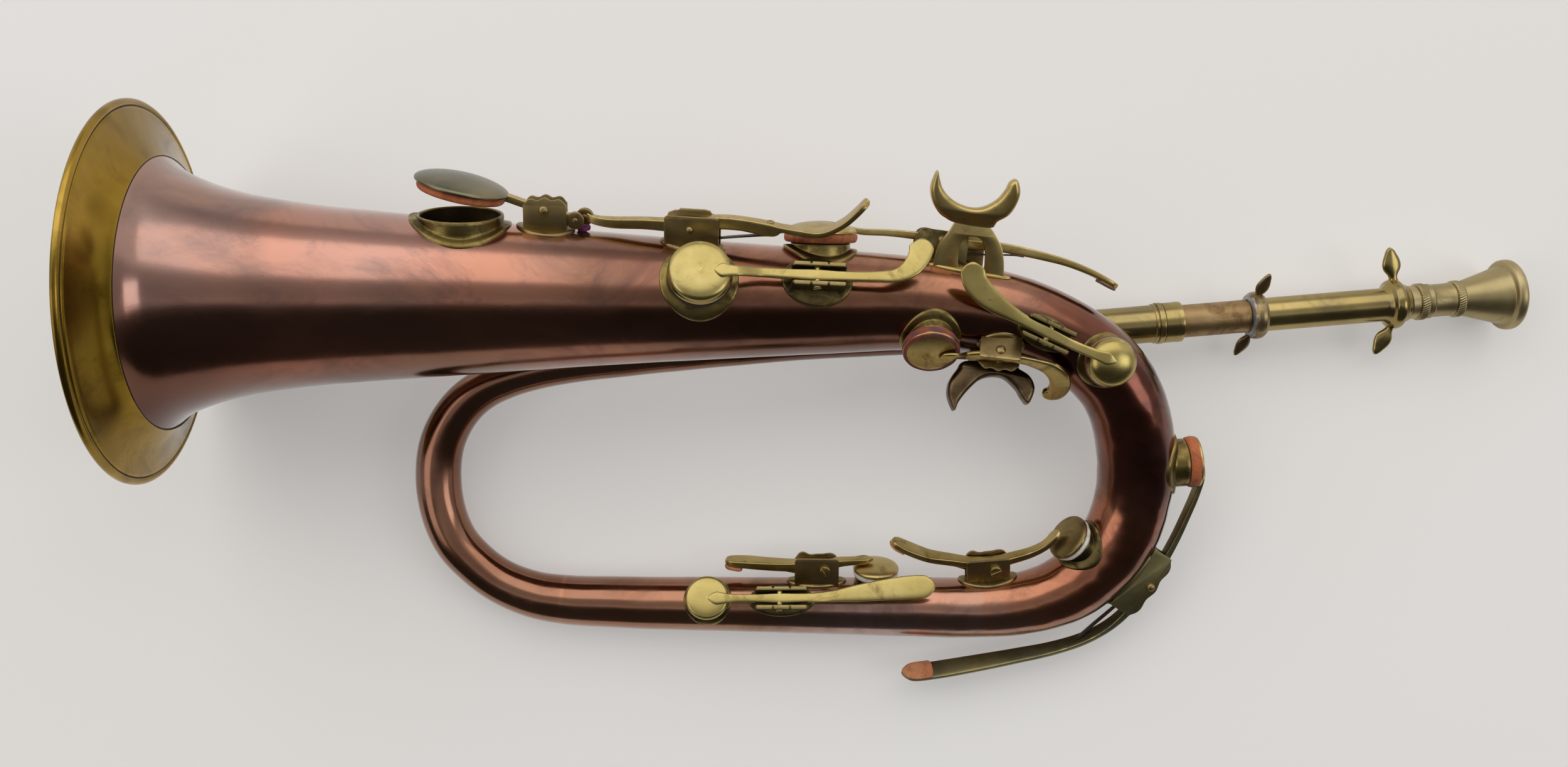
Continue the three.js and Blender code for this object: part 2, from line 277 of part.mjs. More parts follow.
const GROWN = {};
for (const sec of Object.keys(SECTIONS)) GROWN[sec] = { gap: offset(sec, GAP), skin: offset(sec, GAP + FLANGE) };
const clearOf = (solid, secs) => secs.reduce((s, sec) => s.subtract(GROWN[sec].gap), solid);

const KEY_ON = { k1: 'main', k2: 'main', k3: 'main', k5: 'main', k4: 'bow', k6: 'bow', k7: 'bow', k8: 'low', k9: 'low' };
const SADDLE_ON = { k1a: 'main', k1b: 'main', k2: 'main', k3: 'main', k5: 'main', k4: 'bow', k6: 'bow', k7: 'low', k8: 'low', k9: 'low' };

const holes = { main: [], bow: [], low: [] };
for (const [k, q] of Object.entries(KEYS)) {
  const c = V(q.C), n = V(q.n);
  holes[KEY_ON[k]].push(turned(c, n, [[2, q.rc - 1.1], [q.R + 8, q.rc - 1.1]], 12));
}

function tubePiece(name, sec, cuts, wall = WALL) {
  const [path, n, ...ends] = SECTIONS[sec];
  let s = tubeSolid(path, 0, n, -GAP / 2, ends).subtract(tubeSolid(path, -wall, n, 1.5, ends));
  for (const c of cuts) s = s.subtract(c);
  add(name, s, 'copper');
}
tubePiece('main_tube', 'main', holes.main);
tubePiece('right_bow', 'bow', holes.bow);
tubePiece('lower_branch', 'low', holes.low);
tubePiece('left_bow_and_leadpipe', 'left', []);

// Bell garland: flare with a rolled rim and a narrow flat lip at the mouth.
{
  const p = V(BELL0), d = V(BELLX);
  const outer = turned(p, d, [[0, BELL_RADIUS - 3.2], [0, BELL_RADIUS], [1.4, BELL_RADIUS + 0.15], [2.6, BELL_RADIUS - 1.2], [3.8, 68.8], [5.2, 64.6], [7.2, 59.9], [9.2, 56.4], [11.0, 53.9]], 30);
  const inner = turned(p, d, [[-1, BELL_RADIUS - 3.2], [0, BELL_RADIUS - 3.2], [2.5, 68.2], [4.2, 63.2], [6.2, 58.6], [8.4, 55.1], [11.5, 52.3]], 30);
  add('bell_garland', outer.subtract(inner), 'garland');
}

// ---- keys --------------------------------------------------------------------
const turnAbout = (pt, p, axis, deg) => pt.clone().sub(p).applyAxisAngle(axis, (deg * Math.PI) / 180).add(p);
const KEY_NAMES = {
  k1: 'bell_key', k2: 'key_2', k3: 'key_3', k4: 'key_4', k5: 'key_5', k6: 'key_6', k7: 'key_7', k8: 'key_8', k9: 'key_9',
};
const PAD_FINISH = { k1: 'red_leather', k2: 'old_leather', k3: 'red_leather', k4: 'old_leather', k5: 'old_leather', k6: 'red_leather', k7: 'white_leather', k8: 'white_leather', k9: 'white_leather' };

for (const [k, q] of Object.entries(KEYS)) {
  const c = V(q.C), n = V(q.n), name = KEY_NAMES[k], sec = KEY_ON[k];
  // chimney with its foot flange
  let ch = turned(c, n, [[q.R * 0.35, q.rc], [q.rim, q.rc]], 14);
  const fl = turned(c, n, [[q.R * 0.35, q.rc + 3], [q.R + 6, q.rc + 3]], 14).intersect(GROWN[sec].skin);
  ch = ch.add(fl);
  ch = clearOf(ch, k === 'k4' ? ['bow', 'main'] : [sec]).subtract(turned(c, n, [[0, q.rc - 1.1], [q.R + 20, q.rc - 1.1]], 12));
  add(name + '_chimney', largest(ch), 'brass');
  // pad and cup, closed position, then turned open for the bell key
  const s = SADDLES[k === 'k1' ? 'k1a' : k], P = V(s.P), w = V(s.w);
  const open = k === 'k1' ? BELL_KEY_OPEN : 0;
  let cc = c, nn = n;
  if (open) {
    const sign = turnAbout(along(c, n, q.rim), P, w, 1).sub(along(c, n, q.rim)).dot(n) > 0 ? 1 : -1;
    cc = turnAbout(c, P, w, sign * open); nn = n.clone().applyAxisAngle(w, (sign * open * Math.PI) / 180);
  }
  const h0 = q.rim + GAP, h1 = h0 + q.tp, h2 = h1 + GAP;
  add(name + '_pad', turned(cc, nn, [[h0, q.rp - 0.7], [h0 + 0.8, q.rp], [h1, q.rp]], 12), PAD_FINISH[k]);
  const cup = turned(cc, nn, [[h2, q.rq - 0.3], [h2 + q.skirt, q.rq], [h2 + q.skirt + q.dome * 0.5, q.rq * 0.84], [h2 + q.skirt + q.dome * 0.87, q.rq * 0.5], [h2 + q.skirt + q.dome, q.rq * 0.14]], 14);
  const lk = k === 'k1' ? 'k1a' : k;
  let lever = strip(LEVERS[lk].path, LEVERS[lk].mode === 'side' ? w : V(s.n), LEVERS[lk].mode);
  lever = lever.subtract(turned(cc, nn, [[h0 - 3, q.rp + 0.35], [h2 - 0.02, q.rp + 0.35]], 12));
  lever = lever.add(turned(P, w, [[-HUB_HALF, HUB_RADIUS], [HUB_HALF, HUB_RADIUS]], 10)).add(cup);
  lever = lever.subtract(turned(P, w, [[-9, PIN_HOLE], [9, PIN_HOLE]], 8));
  add(k === 'k1' ? 'bell_key_cup_lever' : name + '_lever', largest(lever), 'brass');
}
{
  const s = SADDLES.k1b, P = V(s.P), w = V(s.w);
  let lever = strip(LEVERS.k1b.path, w, 'side').add(turned(P, w, [[-HUB_HALF, HUB_RADIUS], [HUB_HALF, HUB_RADIUS]], 10));
  lever = lever.subtract(turned(P, w, [[-9, PIN_HOLE], [9, PIN_HOLE]], 8));
  add('bell_key_touch_lever', largest(lever), 'brass');
}
function largest(s) {
  const parts = s.decompose();
  let best = parts[0];
  for (const p of parts) if (p.volume() > best.volume()) best = p;
  return best;
}

// ---- saddles and pivot screws ---------------------------------------------------
const FEET_CLEAR = { k1b: ['k2'], k2: ['k3', 'k2'], k5: ['k5'], k4: ['k4'] };   // feet trimmed round a neighbouring flange
for (const [k, s] of Object.entries(SADDLES)) {
  const P = V(s.P), n = V(s.n), u = V(s.u), w = V(s.w), sec = SADDLE_ON[k];
  const deep = P.clone().sub(V(s.C)).length();
  const o = along(P, u, s.sh);
  let solid = null;
  for (const side of [-1, 1]) {
    const a = side > 0 ? CHEEK_IN : -CHEEK_OUT, b = side > 0 ? CHEEK_OUT : -CHEEK_IN;
    const cheek = block(o, u, n, w, -s.hl, s.hl, -deep * 0.75, s.ct, a, b);
    solid = solid ? solid.add(cheek) : cheek;
  }
  const near = SADDLE_ON[k] === 'main' ? ['main', 'bow'] : SADDLE_ON[k] === 'bow' ? ['bow', 'main', 'low'] : ['low', 'bow'];
  const foot = near.map((x) => ellipseBlock(o, n, u, w, s.a, s.b, -deep * 0.8, 2).intersect(GROWN[x].skin)).reduce((a, b) => a.add(b));
  solid = solid.add(foot);
  for (const kk of FEET_CLEAR[k] || []) {
    const q = KEYS[kk];
    solid = solid.subtract(turned(V(q.C), V(q.n), [[q.R * 0.4, q.rc + 3 + GAP], [q.R + 4, q.rc + 3 + GAP]], 16));
  }
  solid = clearOf(solid, near).subtract(turned(P, w, [[-9, PIN_HOLE], [9, PIN_HOLE]], 8));
  const nm = k === 'k1a' ? 'bell_key_cup' : k === 'k1b' ? 'bell_key_touch' : KEY_NAMES[k];
  add(nm + '_saddle', largest(solid), 'dark_brass');
  const h = s.head;
  add(nm + '_pivot_screw', turned(P, w.clone().multiplyScalar(h), [[-4.9, PIN_RADIUS], [CHEEK_OUT + GAP, PIN_RADIUS], [CHEEK_OUT + GAP, 2.5], [CHEEK_OUT + GAP + 1.1, 2.2]], 8), 'dark_brass');
}

// ---- crescent finger rests --------------------------------------------------------
for (const [k, c] of Object.entries(CRESCENTS)) {
  const o = V(c.O), t = V(c.T), n = V(c.n), w = V(c.w);
  let s = plate(c.horns, o, t, n, w, k === 'upper' ? -3.2 : -3.6, k === 'upper' ? 3.4 : 3.6);
  s = s.add(plate(c.body, o, t, n, w, -1.2, 1.2));
  if (c.arch) s = s.subtract(plate(c.arch, o, t, n, w, -3, 3));
  const foot = ellipseBlock(o, n, t, w, k === 'upper' ? 17 : 10, k === 'upper' ? 2.4 : 3.2, c.R * 0.55, c.R + 3).intersect(GROWN.main.skin.add(GROWN.bow.skin));
  s = clearOf(s.add(foot), ['main', 'bow']);
  add(k + '_finger_crescent', largest(s), 'pale_brass');
}

// ---- receiver, tuning slide and mouthpiece -------------------------------------------
{
  const p = V(MP0), d = V(MPX);
  const tube = (rows, bore, n) => turned(p, d, rows, n).subtract(turned(p, d, bore, n));
  add('receiver', tube([[SL.r0, 8.2], [SL.ferrule, 8.2], [SL.ferrule, 8.6], [SL.ring0, 8.6], [SL.ring0, 9.0], [SL.ring1, 9.0], [SL.ring1, 8.6], [SL.mouth, 8.6]], [[SL.r0 - 1, 7.5], [SL.mouth + 1, 7.5]], 18), 'brass');
  add('slide_tube', tube([[SL.inner0, 7.15], [SL.collar1 - 0.7, 7.15]], [[SL.inner0 - 1, 6.3], [SL.collar1, 6.3]], 18), 'dark_brass');
  const pull = (s0, dir, sizes) => {
    const c = along(p, d, s0), t = V(dir).normalize();
    const face = new THREE.Vector3().crossVectors(t, d).normalize();
    const out = t.clone().addScaledVector(d, -t.dot(d)).normalize(), root = along(c, out, 8.2);
    return strip(sizes.map(([r, wd, th]) => { const q = along(root, t, r - 8.2); return [q.x, q.y, q.z, wd, th]; }), face, 'top');
  };
  const leaf = [[8.5, 4.2, 3.6], [11, 3, 2.8], [14, 6.4, 2.6], [17.5, 7.4, 2.4], [21, 4.6, 2.4], [23, 3, 2.4], [24.2, 1.6, 1.8]];
  let c1 = tube([[SL.collar1, 9.4], [SL.collar1 + 1.6, 10.2], [SL.collar1 + 4.6, 10.2], [SL.collar1 + 6.2, 9.2]], [[SL.collar1 - 1, 7.5], [SL.collar1 + 8, 7.5]], 18);
  c1 = c1.add(pull(SL.collar1 + 3.1, PULL1, leaf.map(([r, a, b]) => [r * 0.86, a * 0.9, b]))).add(pull(SL.collar1 + 3.1, PULL1B, leaf.map(([r, a, b]) => [r * 0.86, a * 0.9, b])));
  add('lower_pull_collar', c1, 'brass');
  let c2 = tube([[SL.collar1 + 6.2 + GAP, 7.3], [SL.collar2 - 4, 7.3], [SL.collar2 - 2, 9.2], [SL.collar2, 10.8], [SL.collar2 + 2.6, 10.8], [SL.collar2 + 5.4, 8.6], [SL.sleeveEnd, 8.0]], [[SL.collar1 + 5, 6.4], [SL.sleeveEnd + 1, 6.4]], 18);
  c2 = c2.add(pull(SL.collar2 + 1.2, PULL2, leaf)).add(pull(SL.collar2 + 1.2, PULL2B, leaf));
  add('slide_sleeve', c2.subtract(turned(p, d, [[SL.collar1 + 5, 6.4], [SL.sleeveEnd + 1, 6.4]], 18)), 'brass');
  const s0 = SL.shank;
  const mp = turned(p, d, [[s0 - 20, 5.6], [s0 - GAP, 6.05], [s0 + GAP, 6.05], [s0 + GAP, 7.2], [SL.b1, 7.2], [SL.b1, 7.9], [SL.b2, 8.1], [SL.b2 + 0.4, 7.3], [SL.b3, 7.3], [SL.b3, 8.1], [SL.b4, 8.1], [SL.b4 + 0.5, 7.5], [SL.cup1, 10.2], [SL.cup2, 12.9], [SL.rim0, 13.4], [SL.rim0 + 0.6, 15.1], [SL.rim0 + 3.4, 15.3], [SL.rim0 + 4.8, 14.2]], 20)
    .subtract(turned(p, d, [[s0 - 21, 4.2], [s0 + 6, 2.6], [SL.b4 + 2, 2.2], [SL.b4 + 4, 3.0], [SL.cup2 - 4, 8.4], [SL.rim0 + 2, 11.4], [SL.rim0 + 6, 12.4]], 16));
  add('mouthpiece', mp, 'pale_brass');
}

export default group;
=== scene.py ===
# Keyed bugle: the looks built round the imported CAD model. Tables are in millimetres, as in the CAD source;
# S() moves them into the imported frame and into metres.
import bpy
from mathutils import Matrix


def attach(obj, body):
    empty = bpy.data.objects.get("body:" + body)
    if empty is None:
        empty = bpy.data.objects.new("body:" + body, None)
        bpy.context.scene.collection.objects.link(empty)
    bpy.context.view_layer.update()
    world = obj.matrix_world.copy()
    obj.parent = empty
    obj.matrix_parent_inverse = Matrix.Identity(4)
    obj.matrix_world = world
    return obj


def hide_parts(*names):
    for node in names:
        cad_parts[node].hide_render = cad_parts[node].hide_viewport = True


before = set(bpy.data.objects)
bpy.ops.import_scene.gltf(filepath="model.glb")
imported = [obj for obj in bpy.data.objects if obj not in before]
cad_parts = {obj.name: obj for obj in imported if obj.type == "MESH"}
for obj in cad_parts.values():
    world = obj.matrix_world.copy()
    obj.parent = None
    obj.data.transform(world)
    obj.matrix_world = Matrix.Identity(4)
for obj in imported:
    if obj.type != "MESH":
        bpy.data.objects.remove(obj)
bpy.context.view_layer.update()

import math
import bpy
import bmesh
import numpy as np
from mathutils import Vector, noise
from mathutils.geometry import tessellate_polygon

SHIFT = np.array([-29.87, 10.21, -0.04])
A = lambda p: np.asarray(p, float)
S = lambda p: (A(p) + SHIFT) / 1000.0

MAIN = [
    [-241.05, 35.24, 73.57, 53.4], [-238.36, 35.22, 73.31, 50.7], [-234.38, 35.2, 72.93, 47.9], [-224.63, 35.14, 71.99, 43.7],
    [-214.97, 35.09, 71.06, 40.8], [-205.54, 35.03, 70.16, 38.69], [-186.41, 34.92, 68.32, 35.98], [-162.29, 34.79, 66.01, 33.79],
    [-128.16, 34.59, 62.73, 31.25], [-63.58, 34.22, 56.52, 26.32], [-12.84, 33.94, 51.65, 23.24], [23.26, 33.73, 48.18, 21.21],
]

BOW = [
    [46.71, 33.47, 46.0, 19.72], [70.2, 31.85, 45.0, 18.33], [91.1, 28.5, 44.4, 17.57], [108.14, 22.8, 43.8, 16.94],
    [125.36, 13.45, 42.6, 16.45], [138.7, 0.66, 39.5, 16.55], [146.35, -14.95, 35.5, 16.54], [149.84, -32.45, 30.5, 16.16],
    [149.84, -48.64, 25.6, 15.77], [146.05, -63.39, 21.6, 15.61], [137.09, -78.24, 18.3, 15.29], [123.96, -89.27, 15.9, 14.54],
    [107.23, -95.54, 14.5, 13.61], [88.12, -98.04, 13.6, 13.22],
]

LOW = [
    [52.36, -97.97, 13.2, 12.84], [13.79, -97.47, 12.9, 12.24], [-13.79, -97.09, 12.7, 11.92], [-41.38, -96.69, 12.6, 11.64],
    [-68.98, -96.16, 12.5, 11.26],
]

LEFT = [
    [-96.59, -94.93, 12.4, 10.71], [-110.41, -92.61, 12.3, 10.16], [-124.21, -87.09, 12.3, 9.66], [-134.65, -79.6, 12.5, 9.46],
    [-143.93, -69.35, 12.9, 9.54], [-149.29, -56.88, 13.5, 9.64], [-151.33, -42.47, 14.6, 9.76], [-149.99, -28.38, 16.0, 9.68],
    [-145.21, -17.09, 17.5, 9.43], [-138.28, -8.32, 19.0, 9.14], [-129.18, -1.77, 20.6, 8.84], [-118.77, 2.44, 22.2, 8.54],
    [-107.69, 5.41, 23.4, 8.25],
]

LEAD = [
    [-94.53, 7.86, 24.4, 8.1], [-67.45, 11.06, 25.0, 7.99], [-40.53, 13.75, 24.2, 7.97], [-13.54, 16.25, 22.8, 7.96],
    [13.58, 18.41, 21.4, 7.98], [51.22, 20.3, 19.6, 7.98], [95.56, 21.84, 18.4, 7.97], [120.27, 22.88, 17.75, 7.98],
]

BELL0 = [-252.3, 35.3, 74.65]
BELLX = [0.9954, -0.00567, -0.0956]
MP0 = [136.24, 24.04, 17.56]
MPX = [0.99651, 0.08254, -0.01226]

KEYS = {
    'k1': dict(C=[-128.14, 34.59, 62.72], T=[0.9954, -0.0057, -0.0956], n=[0.0363, 0.9459, 0.3223], R=31.25, rim=33.76, rc=16.7, rp=17.2, tp=3.0, rq=18.3, dome=4.2, skirt=0.9, s=113.4),
    'k2': dict(C=[-35.3, 34.06, 53.81], T=[0.9954, -0.0057, -0.0956], n=[0.0937, 0.2629, 0.9603], R=24.54, rim=27.54, rc=10.6, rp=11.8, tp=2.6, rq=12.6, dome=2.6, skirt=3.2, s=206.7),
    'k3': dict(C=[14.36, 33.79, 49.03], T=[0.9954, -0.0061, -0.0953], n=[0.0209, 0.9878, 0.1545], R=21.73, rim=24.01, rc=12.2, rp=14.7, tp=3.2, rq=14.9, dome=4.2, skirt=0.9, s=256.6),
    'k4': dict(C=[128.44, 11.09, 42.1], T=[0.771, -0.6211, -0.1406], n=[0.0902, -0.112, 0.9896], R=16.44, rim=19.64, rc=8.4, rp=9.6, tp=2.4, rq=10.2, dome=4.6, skirt=2.2, s=375.4),
    'k5': dict(C=[59.81, 32.78, 45.36], T=[0.9969, -0.0692, -0.0364], n=[-0.0296, -0.7655, 0.6428], R=18.9, rim=21.7, rc=9.6, rp=11.2, tp=2.8, rq=11.5, dome=1.6, skirt=1.3, s=302.2),
    'k6': dict(C=[150.05, -34.94, 29.76], T=[0.0714, -0.9548, -0.2884], n=[0.9974, 0.0684, 0.0206], R=16.1, rim=20.51, rc=10.2, rp=11.0, tp=3.6, rq=10.8, dome=1.4, skirt=0.9, s=429.4),
    'k7': dict(C=[138.19, -76.89, 18.59], T=[-0.6112, -0.7736, -0.1673], n=[-0.7495, 0.4977, 0.4364], R=15.34, rim=18.54, rc=8.3, rp=9.9, tp=2.6, rq=10.0, dome=1.6, skirt=1.1, s=475.5),
    'k8': dict(C=[39.7, -97.84, 13.09], T=[-0.9999, 0.013, -0.0078], n=[0.0095, 0.9396, 0.3421], R=12.65, rim=15.05, rc=8.0, rp=9.7, tp=2.6, rq=9.9, dome=2.2, skirt=0.9, s=580.4),
    'k9': dict(C=[-32.91, -96.83, 12.63], T=[-0.9999, 0.0146, -0.003], n=[0.0015, 0.3033, 0.9529], R=11.73, rim=14.13, rc=7.4, rp=8.8, tp=2.2, rq=9.3, dome=0.8, skirt=1.9, s=653.0),
}

SADDLES = {
    'k1a': dict(C=[-95.7, 34.41, 59.61], P=[-94.38, 68.81, 71.33], n=[0.0363, 0.9459, 0.3223], u=[0.9954, -0.0057, -0.0956], w=[0.0886, -0.3243, 0.9418], R=28.72, head=1, hl=8.4, ct=5.0, a=11.5, b=9.5, sh=0.4, s=146.0),
    'k3': dict(C=[62.25, 32.6, 45.27], P=[64.45, 59.17, 49.43], n=[0.0817, 0.9847, 0.1541], u=[0.9964, -0.0773, -0.0343], w=[0.0219, -0.1564, 0.9875], R=18.76, head=1, hl=10.8, ct=5.2, a=12.8, b=4.4, sh=0, s=304.7),
    'k7': dict(C=[92.92, -97.69, 13.76], P=[91.06, -78.15, 20.86], n=[-0.0885, 0.8304, 0.55], u=[-0.996, -0.0812, -0.0376], w=[0.0135, -0.5512, 0.8343], R=13.29, head=1, hl=9.3, ct=5.4, a=12.8, b=7.6, sh=3.0, s=527.2),
    'k8': dict(C=[17.5, -97.52, 12.93], P=[17.71, -79.43, 19.52], n=[0.0108, 0.9396, 0.3421], u=[-0.9999, 0.0141, -0.0073], w=[-0.0117, -0.342, 0.9396], R=12.3, head=1, hl=9.5, ct=5.4, a=13, b=5.3, sh=3.5, s=602.6),
    'k2': dict(C=[10.3, 33.82, 49.42], P=[12.96, 42.17, 76.61], n=[0.0938, 0.2629, 0.9603], u=[0.9955, -0.0377, -0.0869], w=[0.0134, 0.9641, -0.2652], R=21.95, head=-1, hl=10.8, ct=2.6, a=14.2, b=10.5, sh=0.8, s=252.5),
    'k4': dict(C=[105.7, 23.82, 43.92], P=[105.1, 19.8, 67.3], n=[0.0113, -0.0804, 0.9967], u=[-0.9087, 0.4152, 0.0437], w=[-0.4173, -0.9062, -0.0684], R=17.02, head=-1, hl=10.4, ct=2.6, a=12, b=6.8, sh=0, s=349.2),
    'k5': dict(C=[90.57, 28.62, 44.42], P=[86.86, 10.86, 60.26], n=[-0.1696, -0.7931, 0.585], u=[0.9848, -0.1133, 0.132], w=[-0.0384, 0.5984, 0.8003], R=17.59, head=1, hl=8.2, ct=4.2, a=9.6, b=5.6, sh=0, s=333.3),
    'k9': dict(C=[-1.82, -97.26, 12.78], P=[-1.87, -91.65, 29.51], n=[-0.003, 0.3034, 0.9529], u=[1.0, 0.0041, 0.0018], w=[-0.0033, 0.9529, -0.3034], R=12.05, head=-1, hl=11.4, ct=2.4, a=13.4, b=5.0, sh=0.8, s=621.9),
    'k1b': dict(C=[-38.34, 34.08, 54.1], P=[-36.69, 61.85, 69.64], n=[0.0363, 0.9116, 0.4094], u=[0.9955, -0.0688, 0.0649], w=[-0.0873, -0.4052, 0.9101], R=24.72, head=1, hl=10.8, ct=5.2, a=13, b=6.4, sh=0.6, s=203.6),
    'k6': dict(C=[140.01, -74.43, 19.12], P=[158.04, -87.06, 19.5], n=[0.8268, -0.547, -0.131], u=[-0.5621, -0.8122, -0.1562], w=[0.0209, -0.2028, 0.979], R=15.42, head=1, hl=15.4, ct=3.0, a=16.5, b=5.4, sh=0.5, s=472.4),
}

